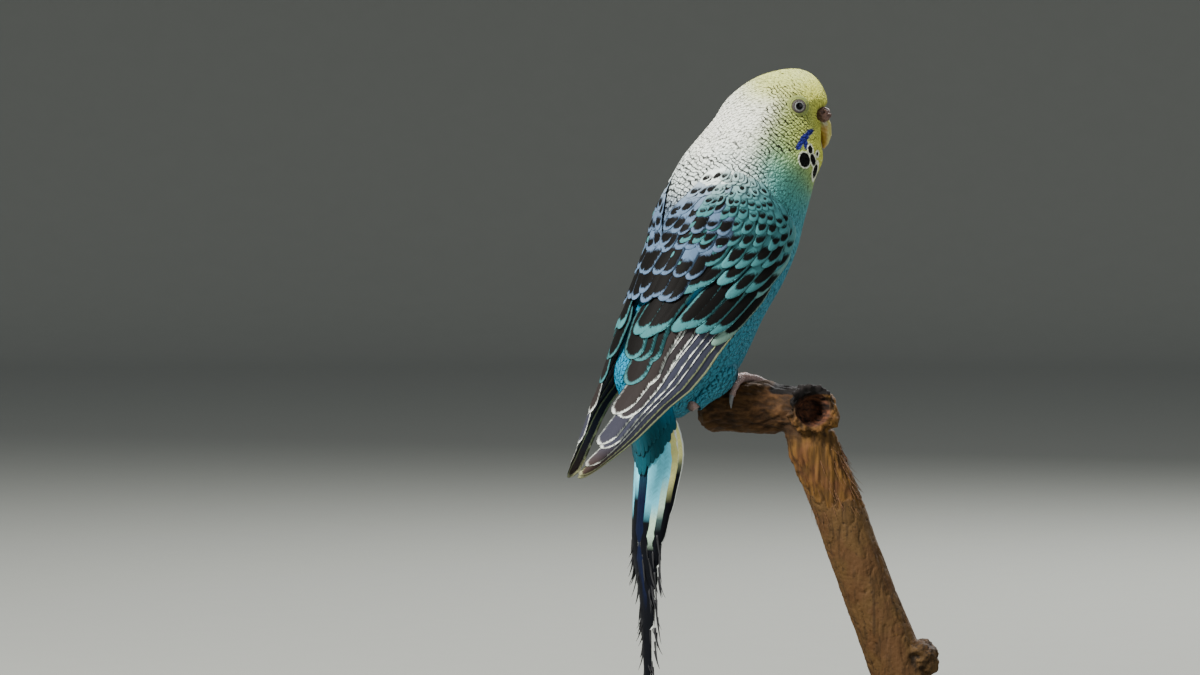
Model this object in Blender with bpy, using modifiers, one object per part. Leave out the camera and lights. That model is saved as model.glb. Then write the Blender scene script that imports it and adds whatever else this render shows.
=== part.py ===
"""A life-size budgerigar at rest on a cut length of branch, on a plain display stand.

Lengths are written in millimetres and become metres when a mesh is made. The bird faces +X with its
left side at +Y. Its drawing frame has the middle plane at y = 0, and PLACE moves it over the stand.
"""
import math

import bpy
import bmesh
import numpy as np
from mathutils import Vector

MM = 0.001
GAP = 0.3
PLACE = np.array((-16.0, 20.0, 0.0))
OBJECT_NAME = "budgerigar_on_perch"

# Level sections of head, neck and torso, from the crown down:
# height, centre x, centre y, half length, half width, heading in degrees
BODY_SECTIONS = np.array((
    (209.2, 33.0, -3.0, 0.0, 0.0, -30.0),
    (207.2, 31.2, -3.0, 8.0, 7.2, -30.0),
    (203.0, 28.8, -3.0, 13.2, 11.2, -30.0),
    (199.6, 27.2, -3.0, 15.6, 12.9, -30.0),
    (193.4, 23.8, -3.0, 17.0, 14.0, -30.0),
    (187.2, 20.2, -3.0, 19.3, 14.3, -30.0),
    (181.0, 17.9, -2.5, 22.2, 14.6, -25.0),
    (174.8, 15.4, -1.5, 23.1, 15.2, -15.0),
    (168.6, 14.0, -0.5, 24.4, 15.8, -5.0),
    (162.4, 12.4, 0.0, 25.1, 15.9, 0.0),
    (153.1, 9.7, 0.0, 24.8, 16.0, 0.0),
    (143.8, 5.6, 0.0, 23.9, 16.3, 0.0),
    (131.4, -1.6, 0.0, 22.5, 15.8, 0.0),
    (122.1, -6.2, 0.0, 22.1, 14.6, 0.0),
    (115.9, -9.3, 0.0, 21.4, 12.6, 0.0),
    (109.7, -13.4, 0.0, 16.4, 9.6, 0.0),
    (103.2, -15.6, 0.0, 10.4, 6.0, 0.0),
))
BODY_TOP = BODY_SECTIONS[0, 0]
BODY_BOTTOM = BODY_SECTIONS[-1, 0]
BODY_RINGS = 32
BODY_SIDES = 28

# Parting planes: a point and an upward normal in the middle plane
HEAD_PART = ((24.5, 0.0, 183.4), (0.517, 0.0, 0.856))
NECK_PART = ((13.6, 0.0, 166.2), (0.21, 0.0, 0.978))

# The head's own frame: origin inside the head, forward and left directions
HEAD_TURN = math.radians(-30.0)
HEAD_ORIGIN = np.array((24.4, -3.0, 194.4))
EYE_FORWARD = 7.4
EYE_UP = 3.1
EYE_RADIUS = 3.0
EYE_SUNK = 2.1
LID_RADIUS = 2.55
LID_THICK = 0.6
LID_OUT = 1.95
LID_FACING = (0.28, 0.96, 0.03)

# Closed wings lie on these level sections:
# height, centre x, half length, half width, dorsal edge angle, outer edge angle
WING_SECTIONS = np.array((
    (172.0, 13.6, 24.8, 16.4, 148.0, 84.0),
    (162.0, 12.2, 25.8, 16.8, 162.0, 58.0),
    (153.0, 9.6, 25.6, 17.2, 168.0, 52.0),
    (143.0, 5.0, 24.9, 17.9, 170.0, 62.0),
    (131.0, -1.8, 23.6, 18.6, 171.0, 76.0),
    (122.7, -6.0, 23.2, 19.0, 171.0, 89.0),
    (110.3, -17.0, 17.1, 17.6, 170.0, 90.0),
    (106.6, -22.0, 14.0, 16.0, 169.0, 90.0),
    (95.0, -34.0, 8.3, 10.6, 165.0, 88.0),
    (88.0, -42.0, 5.3, 5.8, 160.0, 85.0),
    (83.4, -47.8, 2.2, 2.6, 158.0, 85.0),
))
WING_TOP = WING_SECTIONS[0, 0]
WING_TIP = WING_SECTIONS[-1, 0]
WING_CLEAR = 0.5
WING_CORE_END = 129.0
WING_CORE_LIFT = 2.1
WING_EDGE_LIFT = 0.6
WING_CORE_GRID = (11, 7)

# Tiers of vanes over a closed wing. Root and tip are (height, across) for the first and last vane
# of a tier, outer edge first; lift is the height of a vane's lower edge over the wing's own surface
FLIGHT_COUNT = 12
FLIGHT_ROOT = 133.5
FLIGHT_TIPS = (83.9, 85.6, 90.4, 96.0, 101.5, 106.6, 110.8, 113.8, 116.0, 117.6, 118.8, 119.6)
FLIGHT_TIP_ACROSS = (0.86, 0.62, 0.36, 0.22, 0.16, 0.14, 0.13, 0.12, 0.1, 0.08, 0.06, 0.04)
COVERT_TIERS = {
    "greater": {"count": 8, "root": (143.0, 0.93), "last_root": (147.0, 0.14), "drop": 17.5,
                "back": 0.09, "lift": (1.1, 1.95), "half_width": 3.2},
    "median": {"count": 7, "root": (153.5, 0.93), "last_root": (158.0, 0.17), "drop": 14.5,
               "back": 0.08, "lift": (1.2, 2.45), "half_width": 3.5},
}
FLIGHT_LIFT = (0.3, 0.1)
FLIGHT_HALF = 2.6
VANE_THICK = 0.5
VANE_SLOPE = 0.32
FLIGHT_OUTLINE = ((0.0, 0.7), (0.45, 1.0), (0.88, 0.8), (1.0, 0.22))
COVERT_OUTLINE = ((0.0, 0.7), (0.5, 1.0), (0.85, 0.82), (1.0, 0.2))

# The tail hangs in level sections: height, centre x, half depth, half width
TAIL_SECTIONS = np.array((
    (102.9, -15.6, 9.9, 5.8),
    (96.0, -15.2, 8.0, 8.8),
    (92.0, -15.0, 7.0, 10.6),
    (78.0, -17.0, 5.4, 9.6),
    (63.0, -19.4, 4.0, 7.4),
    (44.6, -18.6, 2.6, 5.0),
    (29.0, -19.0, 1.7, 3.2),
    (13.2, -19.0, 0.9, 1.3),
))
TAIL_ARC = 96.0
TAIL_CORE_END = 72.0
TAIL_CORE_INSET = 1.2
TAIL_CORE_TAPER = 14.0
TAIL_CORE_SHIFT = -2.0
RECTRIX_ROOT = 91.0
RECTRIX_TIPS = (13.4, 36.0, 48.0, 55.5, 63.0, 72.0)
RECTRIX_LIFT = (-2.7, -0.6)
RECTRIX_STEP = 0.4
RECTRIX_HALF = (2.3, 2.5, 2.6, 2.5, 2.4, 2.2)
RECTRIX_OUTLINE = ((0.0, 0.55), (0.45, 1.0), (0.85, 0.8), (1.0, 0.14))
TAIL_COVERTS = {"root": 101.0, "tips": (83.0, 86.5, 90.5), "lift": (-1.9, 0.2), "half_width": 2.6}

# Perch: the stub under the feet, the collar round its hollow, and the stem down to the cut end
PERCH_MIDDLE = np.array((11.4, 0.0, 104.2))
PERCH_AXIS = np.array((0.46, -0.888, 0.0))
PERCH_ACROSS = np.array((0.888, 0.46, 0.0))
PERCH_RADIUS = 7.7
STUB_FAR = -9.0
STUB_NEAR = 25.0
COLLAR_POINT = np.array((23.9, -24.2, 103.4))
COLLAR_AXIS = np.array((-0.45, -0.88, 0.13))
COLLAR_REACH = 8.5
COLLAR_RADII = (8.0, 7.4)
HOLLOW_RADIUS = 5.3
HOLLOW_DEPTH = 8.0
STEM_PATH = np.array((
    (23.4, -22.8, 102.0),
    (25.0, -25.2, 92.0),
    (31.0, -29.2, 75.3),
    (34.6, -31.8, 62.3),
    (39.5, -35.2, 46.2),
    (43.6, -38.0, 33.5),
    (48.4, -41.4, 17.6),
))
STEM_RADII = (7.9, 7.9, 7.8, 7.9, 8.1, 8.4, 8.8)
KNOT_POINT = np.array((51.0, -45.5, 27.0))
KNOT_RADIUS = 5.6

# Feet: place along the perch's axis, and each toe's outward turn, length and radius
FOOT_TURN = 10.0
FEET = {
    "right": {"side": -1.0, "along": 5.2, "ankle": (-6.4, -7.4, 106.2)},
    "left": {"side": 1.0, "along": -3.4, "ankle": (-9.0, 8.0, 107.2)},
}
TOES = (
    ("inner_front", -10.0, 9.0, 1.15),
    ("outer_front", 22.0, 12.0, 1.25),
    ("outer_back", 165.0, 9.5, 1.2),
    ("inner_back", -165.0, 6.5, 1.1),
)
TOE_CLEAR = 0.4
TOE_TAPER = 0.25
CLAW_LENGTH = 4.4
CLAW_RADII = (0.75, 0.72, 0.62, 0.48, 0.32, 0.14)
TARSUS_RADIUS = 1.5
TARSUS_ARCH = 1.9
# share of the way from the ankle to the toes, share of the arch, and extra radius
TARSUS_STATIONS = ((0.3, 0.7, 0.0), (0.65, 1.0, -0.1), (0.9, 0.5, 0.0), (1.0, 0.0, -0.2))
THIGH_TOP = (7.0, 1.4, 119.0)
LEG_RADII = (5.4, 4.6, 3.0, 2.1)

# Stand
BASE_RADIUS = 56.0
BASE_THICK = 8.0
BASE_BEVEL = 1.2
ROD_RADIUS = 3.0


def smooth_at(height, stations, column):
    """One column of a section table at any height, by cubic Hermite between the stations."""
    xs = stations[::-1, 0]
    ys = stations[::-1, column]
    slope = np.gradient(ys, xs)
    h = np.clip(np.asarray(height, float), xs[0], xs[-1])
    i = np.clip(np.searchsorted(xs, h) - 1, 0, len(xs) - 2)
    w = xs[i + 1] - xs[i]
    t = (h - xs[i]) / w
    a = (1 + 2 * t) * (1 - t) ** 2 * ys[i]
    b = t * (1 - t) ** 2 * w * slope[i]
    c = t * t * (3 - 2 * t) * ys[i + 1]
    d = t * t * (t - 1) * w * slope[i + 1]
    return a + b + c + d


BODY_SQUARES = BODY_SECTIONS.copy()
BODY_SQUARES[:, 3:5] **= 2


def body_section(height):
    """Centre, half length, half width and heading of the body at a height."""
    cx = smooth_at(height, BODY_SQUARES, 1)
    cy = smooth_at(height, BODY_SQUARES, 2)
    a = np.sqrt(np.maximum(smooth_at(height, BODY_SQUARES, 3), 1e-4))
    b = np.sqrt(np.maximum(smooth_at(height, BODY_SQUARES, 4), 1e-4))
    heading = np.radians(smooth_at(height, BODY_SQUARES, 5))
    return cx, cy, a, b, heading


def body_point(height, angle, swell=0.0):
    """Point of the body at a height and an angle from the front, the section grown by swell."""
    cx, cy, a, b, heading = body_section(height)
    forward = (a + swell) * np.cos(angle)
    left = (b + swell) * np.sin(angle)
    x = cx + forward * np.cos(heading) - left * np.sin(heading)
    y = cy + forward * np.sin(heading) + left * np.cos(heading)
    return np.stack((x, y, height + 0.0 * x), axis=-1)


def clear_of_body(points, gap):
    """Points pushed out level from the body's sections until they are a gap clear of it."""
    cx, cy, a, b, heading = body_section(points[..., 2])
    dx = points[..., 0] - cx
    dy = points[..., 1] - cy
    forward = dx * np.cos(heading) + dy * np.sin(heading)
    left = dy * np.cos(heading) - dx * np.sin(heading)
    reach = np.hypot(forward / (a + gap), left / (b + gap))
    beside = (points[..., 2] < BODY_TOP) & (points[..., 2] > BODY_BOTTOM)
    grow = np.where((reach < 1.0) & beside, 1.0 / np.maximum(reach, 0.05), 1.0)
    moved = points.copy()
    moved[..., 0] = cx + dx * grow
    moved[..., 1] = cy + dy * grow
    return moved


def wing_point(height, across, lift, side):
    """Point over a closed wing: across runs from 0 at the dorsal edge to 1 at the outer edge."""
    cx = smooth_at(height, WING_SECTIONS, 1)
    a = smooth_at(height, WING_SECTIONS, 2) + lift
    b = smooth_at(height, WING_SECTIONS, 3) + lift
    dorsal = np.radians(smooth_at(height, WING_SECTIONS, 4))
    outer = np.radians(smooth_at(height, WING_SECTIONS, 5))
    angle = dorsal + (outer - dorsal) * across
    points = np.stack((cx + a * np.cos(angle), side * b * np.sin(angle), height + 0.0 * angle), axis=-1)
    return clear_of_body(points, WING_CLEAR + lift)


def head_point(forward, left, up):
    """Point given in the head's own frame."""
    c = math.cos(HEAD_TURN)
    s = math.sin(HEAD_TURN)
    return HEAD_ORIGIN + np.array((forward * c - left * s, forward * s + left * c, up))


def material(name, colour, roughness, metallic=0.0):
    """A plain Principled material."""
    made = bpy.data.materials.new(name)
    made.use_nodes = True
    shader = made.node_tree.nodes["Principled BSDF"]
    shader.inputs["Base Color"].default_value = (*colour, 1.0)
    shader.inputs["Roughness"].default_value = roughness
    shader.inputs["Metallic"].default_value = metallic
    return made


def object_from(name, vertices, faces, collection, placed=True):
    """An object from points in millimetres, its normals turned outwards."""
    points = np.asarray(vertices, float)
    if placed:
        points = points + PLACE
    mesh = bpy.data.meshes.new(name)
    mesh.from_pydata((points * MM).tolist(), [], [tuple(int(i) for i in face) for face in faces])
    turn_outwards(mesh)
    made = bpy.data.objects.new(name, mesh)
    collection.objects.link(made)
    return made


def turn_outwards(mesh):
    """Recalculate a closed mesh's normals to point out."""
    work = bmesh.new()
    work.from_mesh(mesh)
    bmesh.ops.recalc_face_normals(work, faces=work.faces)
    if work.calc_volume(signed=True) < 0:
        bmesh.ops.reverse_faces(work, faces=work.faces)
    work.to_mesh(mesh)
    work.free()


def loft_faces(rings, sides):
    """Triangles of a closed loft: a grid of rings with a fan at each end."""
    faces = []
    for r in range(rings - 1):
        for s in range(sides):
            n = (s + 1) % sides
            p = r * sides
            q = p + sides
            faces.append((p + s, p + n, q + n))
            faces.append((p + s, q + n, q + s))
    first = rings * sides
    for s in range(sides):
        n = (s + 1) % sides
        faces.append((first, s, n))
        faces.append((first + 1, (rings - 1) * sides + n, (rings - 1) * sides + s))
    return faces


def loft(name, rings, collection, placed=True):
    """A closed body through an array of rings, shaped (rings, sides, 3)."""
    count, sides = rings.shape[:2]
    vertices = np.concatenate((rings.reshape(-1, 3), [rings[0].mean(0)], [rings[-1].mean(0)]))
    return object_from(name, vertices, loft_faces(count, sides), collection, placed)


def slab(name, upper, lower, collection):
    """A closed sheet between two grids of the same shape, split into triangles alike on both."""
    rows, columns = upper.shape[:2]
    count = rows * columns
    faces = []
    for r in range(rows - 1):
        for c in range(columns - 1):
            p = r * columns + c
            q = p + columns
            for a, b, d in ((p, p + 1, q + 1), (p, q + 1, q)):
                faces.append((a, b, d))
                faces.append((count + d, count + b, count + a))
    top = [c for c in range(columns)]
    right = [r * columns + columns - 1 for r in range(1, rows)]
    bottom = [(rows - 1) * columns + c for c in range(columns - 2, -1, -1)]
    left = [r * columns for r in range(rows - 2, 0, -1)]
    rim = top + right + bottom + left
    for k, a in enumerate(rim):
        b = rim[(k + 1) % len(rim)]
        faces.append((b, a, count + a))
        faces.append((b, count + a, count + b))
    vertices = np.concatenate((upper.reshape(-1, 3), lower.reshape(-1, 3)))
    return object_from(name, vertices, faces, collection)


def body_solid(name, collection, swell=0.0):
    """Head, neck and torso as one loft of level rings, closed at the crown."""
    turn = np.linspace(0.0, 1.0, BODY_RINGS)
    top = BODY_TOP - 0.05
    heights = BODY_BOTTOM - swell + (top + swell - BODY_BOTTOM + swell) * np.sin(turn * math.pi / 2) ** 1.15
    inside = np.clip(heights, BODY_BOTTOM, top)
    angles = np.linspace(0.0, 2 * math.pi, BODY_SIDES, endpoint=False)
    rings = body_point(inside[:, None], angles[None, :], swell)
    rings[..., 2] = heights[:, None]
    return loft(name, rings, collection)


def sphere(name, centre, radii, collection, segments=20, rings=12):
    """A UV sphere stretched to three radii."""
    mesh = bpy.data.meshes.new(name)
    work = bmesh.new()
    bmesh.ops.create_uvsphere(work, u_segments=segments, v_segments=rings, radius=1.0)
    for v in work.verts:
        v.co = Vector((v.co.x * radii[0], v.co.y * radii[1], v.co.z * radii[2])) * MM
    work.to_mesh(mesh)
    work.free()
    made = bpy.data.objects.new(name, mesh)
    made.location = (np.asarray(centre, float) + PLACE) * MM
    collection.objects.link(made)
    return made


def rod(name, start, end, radius_start, radius_end, collection, segments=20):
    """A straight cone or cylinder between two points."""
    a = Vector((np.asarray(start, float) + PLACE) * MM)
    b = Vector((np.asarray(end, float) + PLACE) * MM)
    mesh = bpy.data.meshes.new(name)
    work = bmesh.new()
    bmesh.ops.create_cone(work, cap_ends=True, segments=segments, radius1=radius_start * MM,
                          radius2=radius_end * MM, depth=(b - a).length)
    work.to_mesh(mesh)
    work.free()
    made = bpy.data.objects.new(name, mesh)
    made.location = (a + b) / 2
    made.rotation_euler = (b - a).to_track_quat("Z", "Y").to_euler()
    collection.objects.link(made)
    return made


def tube(name, points, radii, collection, resolution=2):
    """A bevelled curve through points, each with its own radius, as a welded mesh."""
    curve = bpy.data.curves.new(name, "CURVE")
    curve.dimensions = "3D"
    curve.bevel_depth = MM
    curve.bevel_resolution = resolution
    curve.use_fill_caps = True
    spline = curve.splines.new("POLY")
    spline.points.add(len(points) - 1)
    for point, place, radius in zip(spline.points, points, radii):
        point.co = (*((np.asarray(place, float) + PLACE) * MM), 1.0)
        point.radius = radius
    drawn = bpy.data.objects.new(name + "_curve", curve)
    collection.objects.link(drawn)
    depsgraph = bpy.context.evaluated_depsgraph_get()
    mesh = bpy.data.meshes.new_from_object(drawn.evaluated_get(depsgraph))
    work = bmesh.new()
    work.from_mesh(mesh)
    bmesh.ops.remove_doubles(work, verts=work.verts, dist=1e-6)
    work.to_mesh(mesh)
    work.free()
    turn_outwards(mesh)
    made = bpy.data.objects.new(name, mesh)
    made.matrix_world = drawn.matrix_world
    collection.objects.link(made)
    bpy.data.objects.remove(drawn)
    bpy.data.curves.remove(curve)
    return made


def apply_modifiers(target):
    """Replace an object's mesh with its evaluated one, in world space, and drop the modifiers."""
    bpy.context.view_layer.update()
    depsgraph = bpy.context.evaluated_depsgraph_get()
    mesh = bpy.data.meshes.new_from_object(target.evaluated_get(depsgraph))
    mesh.transform(target.matrix_world)
    target.modifiers.clear()
    target.data = mesh
    target.location = (0, 0, 0)
    target.rotation_euler = (0, 0, 0)
    target.scale = (1, 1, 1)


def keep_largest(target):
    """Keep only the largest closed surface of an object."""
    work = bmesh.new()
    work.from_mesh(target.data)
    work.faces.ensure_lookup_table()
    unseen = set(work.faces)
    groups = []
    while unseen:
        stack = [unseen.pop()]
        group = list(stack)
        while stack:
            face = stack.pop()
            for edge in face.edges:
                for other in edge.link_faces:
                    if other in unseen:
                        unseen.remove(other)
                        stack.append(other)
                        group.append(other)
        groups.append(group)
    groups.sort(key=lambda g: sum(f.calc_area() for f in g))
    loose = [f for g in groups[:-1] for f in g]
    bmesh.ops.delete(work, geom=loose, context="FACES")
    work.to_mesh(target.data)
    work.free()


def unite(target, others, solver="EXACT"):
    """One union of a target with a collection of closed objects, which are then removed."""
    group = bpy.data.collections.new(target.name + "_pieces")
    bpy.context.scene.collection.children.link(group)
    for other in others:
        group.objects.link(other)
    step = target.modifiers.new("union", "BOOLEAN")
    step.operand_type = "COLLECTION"
    step.collection = group
    step.operation = "UNION"
    step.solver = solver
    apply_modifiers(target)
    for other in list(others):
        bpy.data.objects.remove(other)
    bpy.data.collections.remove(group)
    keep_largest(target)
    return target


def cut(target, tools, solver="EXACT"):
    """Cut a target by each closed object in turn, and remove those objects."""
    for tool in tools:
        step = target.modifiers.new("cut", "BOOLEAN")
        step.object = tool
        step.operation = "DIFFERENCE"
        step.solver = solver
        apply_modifiers(target)
        bpy.data.objects.remove(tool)
    keep_largest(target)
    return target


def half_space(name, part, above, collection):
    """A large block on one side of a parting plane that reaches half a gap past it."""
    point = np.array(part[0])
    normal = np.array(part[1])
    sign = 1.0 if above else -1.0
    size = BODY_TOP - BODY_BOTTOM
    start = point - normal * sign * GAP / 2
    return rod(name, start, start + normal * sign * size, size, size, collection, segments=4)


def build_body(parts, cutters):
    """Torso, neck and head, parted by two thin cuts."""
    torso = body_solid("torso", parts)
    neck = body_solid("neck", parts)
    head = body_solid("head", parts)
    cut(torso, [half_space("cut", NECK_PART, True, cutters)])
    cut(neck, [half_space("cut_a", NECK_PART, False, cutters),
               half_space("cut_b", HEAD_PART, True, cutters)])
    cut(head, [half_space("cut", HEAD_PART, False, cutters)])
    return torso, neck, head


def eye_centre(side):
    """Centre of an eyeball, sunk under the side of the head."""
    up = HEAD_ORIGIN[2] + EYE_UP
    cx, cy, a, b, heading = body_section(up)
    ahead = EYE_FORWARD - (float(cx) - HEAD_ORIGIN[0]) * math.cos(HEAD_TURN)
    left = float(b) * math.sqrt(1 - (ahead / float(a)) ** 2) - EYE_SUNK
    return head_point(EYE_FORWARD, side * left, EYE_UP)


def lid_ring(name, side, collection):
    """The ring of bare lid round an eye, a torus facing out and a little forward."""
    centre = eye_centre(side)
    facing = head_point(LID_FACING[0], side * LID_FACING[1], LID_FACING[2]) - HEAD_ORIGIN
    facing = facing / np.linalg.norm(facing)
    bpy.ops.mesh.primitive_torus_add(major_radius=LID_RADIUS * MM, minor_radius=LID_THICK * MM,
                                     major_segments=18, minor_segments=6)
    made = bpy.context.object
    made.name = name
    made.location = (centre + facing * LID_OUT + PLACE) * MM
    made.rotation_euler = Vector(facing).to_track_quat("Z", "Y").to_euler()
    for owner in list(made.users_collection):
        owner.objects.unlink(made)
    collection.objects.link(made)
    return made


def beak_rings(path, depths, widths, swell=0.0):
    """Rings of a beak half carried along a path in the head's middle plane."""
    path = np.array(path)
    tangent = np.gradient(path, axis=0)
    tangent = tangent / np.linalg.norm(tangent, axis=1)[:, None]
    normal = np.stack((-tangent[:, 1], tangent[:, 0]), axis=1)
    angles = np.linspace(0.0, 2 * math.pi, 12, endpoint=False)
    rings = []
    for place, out, depth, width in zip(path, normal, depths, widths):
        ring = []
        for angle in angles:
            d = (depth + swell) * math.cos(angle)
            ring.append(head_point(place[0] + out[0] * d, (width + swell) * math.sin(angle),
                                   place[1] + out[1] * d))
        rings.append(ring)
    return np.array(rings)


UPPER_BEAK = {
    "path": ((13.2, 1.2), (15.4, -0.6), (16.9, -3.2), (17.5, -6.0), (17.3, -8.4), (16.8, -9.9)),
    "depths": (3.0, 2.9, 2.5, 1.9, 1.1, 0.3),
    "widths": (3.4, 3.5, 3.1, 2.3, 1.2, 0.3),
}
LOWER_BEAK = {
    "path": ((11.6, -4.8), (13.2, -6.4), (14.6, -8.2), (15.6, -10.2)),
    "depths": (2.0, 2.1, 1.6, 0.5),
    "widths": (2.7, 2.8, 2.3, 0.8),
}
CERE_CENTRE = (16.2, 1.55, 0.9)
CERE_RADII = (3.1, 2.5, 2.5)
CERE_ROLL = 0.15
NOSTRIL = (18.9, 1.7, 1.2)
NOSTRIL_RADIUS = 0.5
NOSTRIL_DEPTH = 1.6


def cere_solid(name, collection, swell=0.0):
    """Two swollen lobes over the root of the beak, joined at the middle."""
    radii = [r + swell for r in CERE_RADII]
    lobes = []
    for side in (-1.0, 1.0):
        lobe = sphere(name, head_point(CERE_CENTRE[0], side * CERE_CENTRE[1], CERE_CENTRE[2]),
                      radii, collection, 12, 8)
        lobe.rotation_euler = (CERE_ROLL * side, 0, HEAD_TURN)
        lobes.append(lobe)
    return unite(lobes[0], [lobes[1]], "MANIFOLD")


def build_face(head, parts, cutters):
    """Lids, eyes, cere with two nostrils, and both halves of the beak."""
    made = {}
    lids = [lid_ring("lid", side, cutters) for side in (-1.0, 1.0)]
    unite(head, lids)
    hollows = [sphere("socket", eye_centre(side), [EYE_RADIUS + GAP] * 3, cutters, 16, 10)
               for side in (-1.0, 1.0)]
    hollows.append(loft("seat_upper", beak_rings(**UPPER_BEAK, swell=GAP), cutters))
    hollows.append(loft("seat_lower", beak_rings(**LOWER_BEAK, swell=GAP), cutters))
    hollows.append(cere_solid("seat_cere", cutters, GAP))
    cut(head, hollows)
    for name, side in (("eye_right", -1.0), ("eye_left", 1.0)):
        made[name] = sphere(name, eye_centre(side), [EYE_RADIUS] * 3, parts, 16, 10)
    made["cere"] = cere_solid("cere", parts)
    nostrils = [rod("nostril", head_point(NOSTRIL[0] - NOSTRIL_DEPTH, side * NOSTRIL[1], NOSTRIL[2]),
                    head_point(NOSTRIL[0] + 1.0, side * (NOSTRIL[1] + 0.4), NOSTRIL[2] + 0.2),
                    NOSTRIL_RADIUS * 0.9, NOSTRIL_RADIUS, cutters, 10) for side in (-1.0, 1.0)]
    cut(made["cere"], nostrils, "MANIFOLD")
    made["beak_upper"] = loft("beak_upper", beak_rings(**UPPER_BEAK), parts)
    cut(made["beak_upper"], [cere_solid("cut", cutters, GAP)], "MANIFOLD")
    made["beak_lower"] = loft("beak_lower", beak_rings(**LOWER_BEAK), parts)
    cut(made["beak_lower"], [loft("cut", beak_rings(**UPPER_BEAK, swell=GAP), cutters)])
    return made


def wing_core(name, side, collection):
    """The wing's body of small plumage: a sheet over the flank, thinner at its edges and ends."""
    rows = np.linspace(WING_TOP, WING_CORE_END, WING_CORE_GRID[0])
    columns = np.linspace(0.0, 1.0, WING_CORE_GRID[1])
    z, t = np.meshgrid(rows, columns, indexing="ij")
    bulge = np.sqrt(np.clip(1 - (2 * t - 1) ** 4, 0, 1))
    down = (WING_TOP - z) / (WING_TOP - WING_CORE_END)
    full = np.clip(np.minimum(down * 5, (1 - down) * 1.5) + 0.3, 0, 1)
    upper = wing_point(z, t, WING_EDGE_LIFT + (WING_CORE_LIFT - WING_EDGE_LIFT) * bulge * full, side)
    lower = wing_point(z, t, 0.0, side)
    return slab(name, upper, lower, collection)


def vane(name, surface, root, tip, lift, half_width, outline, collection):
    """One feather vane: a thin slab along a path over a surface, its outer edge raised.

    surface(height, across, lift) gives a point; root and tip are (height, across) pairs, and lift
    holds the height of the vane's lower face over the surface at its root and at its tip.
    """
    u, share = np.array(outline).T
    z = root[0] + (tip[0] - root[0]) * u
    t = root[1] + (tip[1] - root[1]) * u
    width = half_width * share
    rise = lift[0] + (lift[1] - lift[0]) * u + VANE_SLOPE * width + VANE_THICK / 2
    middle = surface(z, t, rise)
    outward = surface(z, t, rise + 1.0) - middle
    outward /= np.linalg.norm(outward, axis=1)[:, None]
    along = np.gradient(middle, axis=0)
    along /= np.linalg.norm(along, axis=1)[:, None]
    sideways = np.cross(outward, along)
    sideways /= np.linalg.norm(sideways, axis=1)[:, None]
    towards = surface(z, t + 0.02, rise) - middle
    sideways *= np.sign(np.sum(sideways * towards, axis=1))[:, None]
    face = np.cross(along, sideways)
    face *= np.sign(np.sum(face * outward, axis=1))[:, None]
    half = sideways * width[:, None] + face * (VANE_SLOPE * width)[:, None]
    thick = face * VANE_THICK / 2
    upper = np.stack((middle - half + thick, middle + half + thick), axis=1)
    lower = np.stack((middle - half - thick, middle + half - thick), axis=1)
    return slab(name, upper, lower, collection)


def build_wing(name, side, parts, cutters):
    """A closed wing: core, flight feathers from the outer edge inwards, then two tiers of coverts."""
    def surface(height, across, lift):
        return wing_point(height, across, lift, side)

    pieces = []
    for k in range(FLIGHT_COUNT):
        root = (FLIGHT_ROOT, 1.0 - (k + 0.7) / FLIGHT_COUNT)
        tip = (FLIGHT_TIPS[k], FLIGHT_TIP_ACROSS[k])
        pieces.append(vane("flight", surface, root, tip, FLIGHT_LIFT, FLIGHT_HALF, FLIGHT_OUTLINE,
                           cutters))
    for tier in COVERT_TIERS.values():
        for k in range(tier["count"]):
            u = k / (tier["count"] - 1)
            root = tuple(a + (b - a) * u for a, b in zip(tier["root"], tier["last_root"]))
            tip = (root[0] - tier["drop"], root[1] - tier["back"])
            pieces.append(vane("covert", surface, root, tip, tier["lift"], tier["half_width"],
                               COVERT_OUTLINE, cutters))
    return unite(wing_core(name, side, parts), pieces)


def tail_point(height, across, lift, side):
    """Point over the tail's arched back: across runs from 0 at the middle to 1 at the outer edge."""
    cx = smooth_at(height, TAIL_SECTIONS, 1)
    a = smooth_at(height, TAIL_SECTIONS, 2) + lift
    b = smooth_at(height, TAIL_SECTIONS, 3) + lift
    angle = math.pi - np.radians(TAIL_ARC) * across
    return np.stack((cx + a * np.cos(angle), side * b * np.sin(angle), height + 0.0 * angle), axis=-1)


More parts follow.
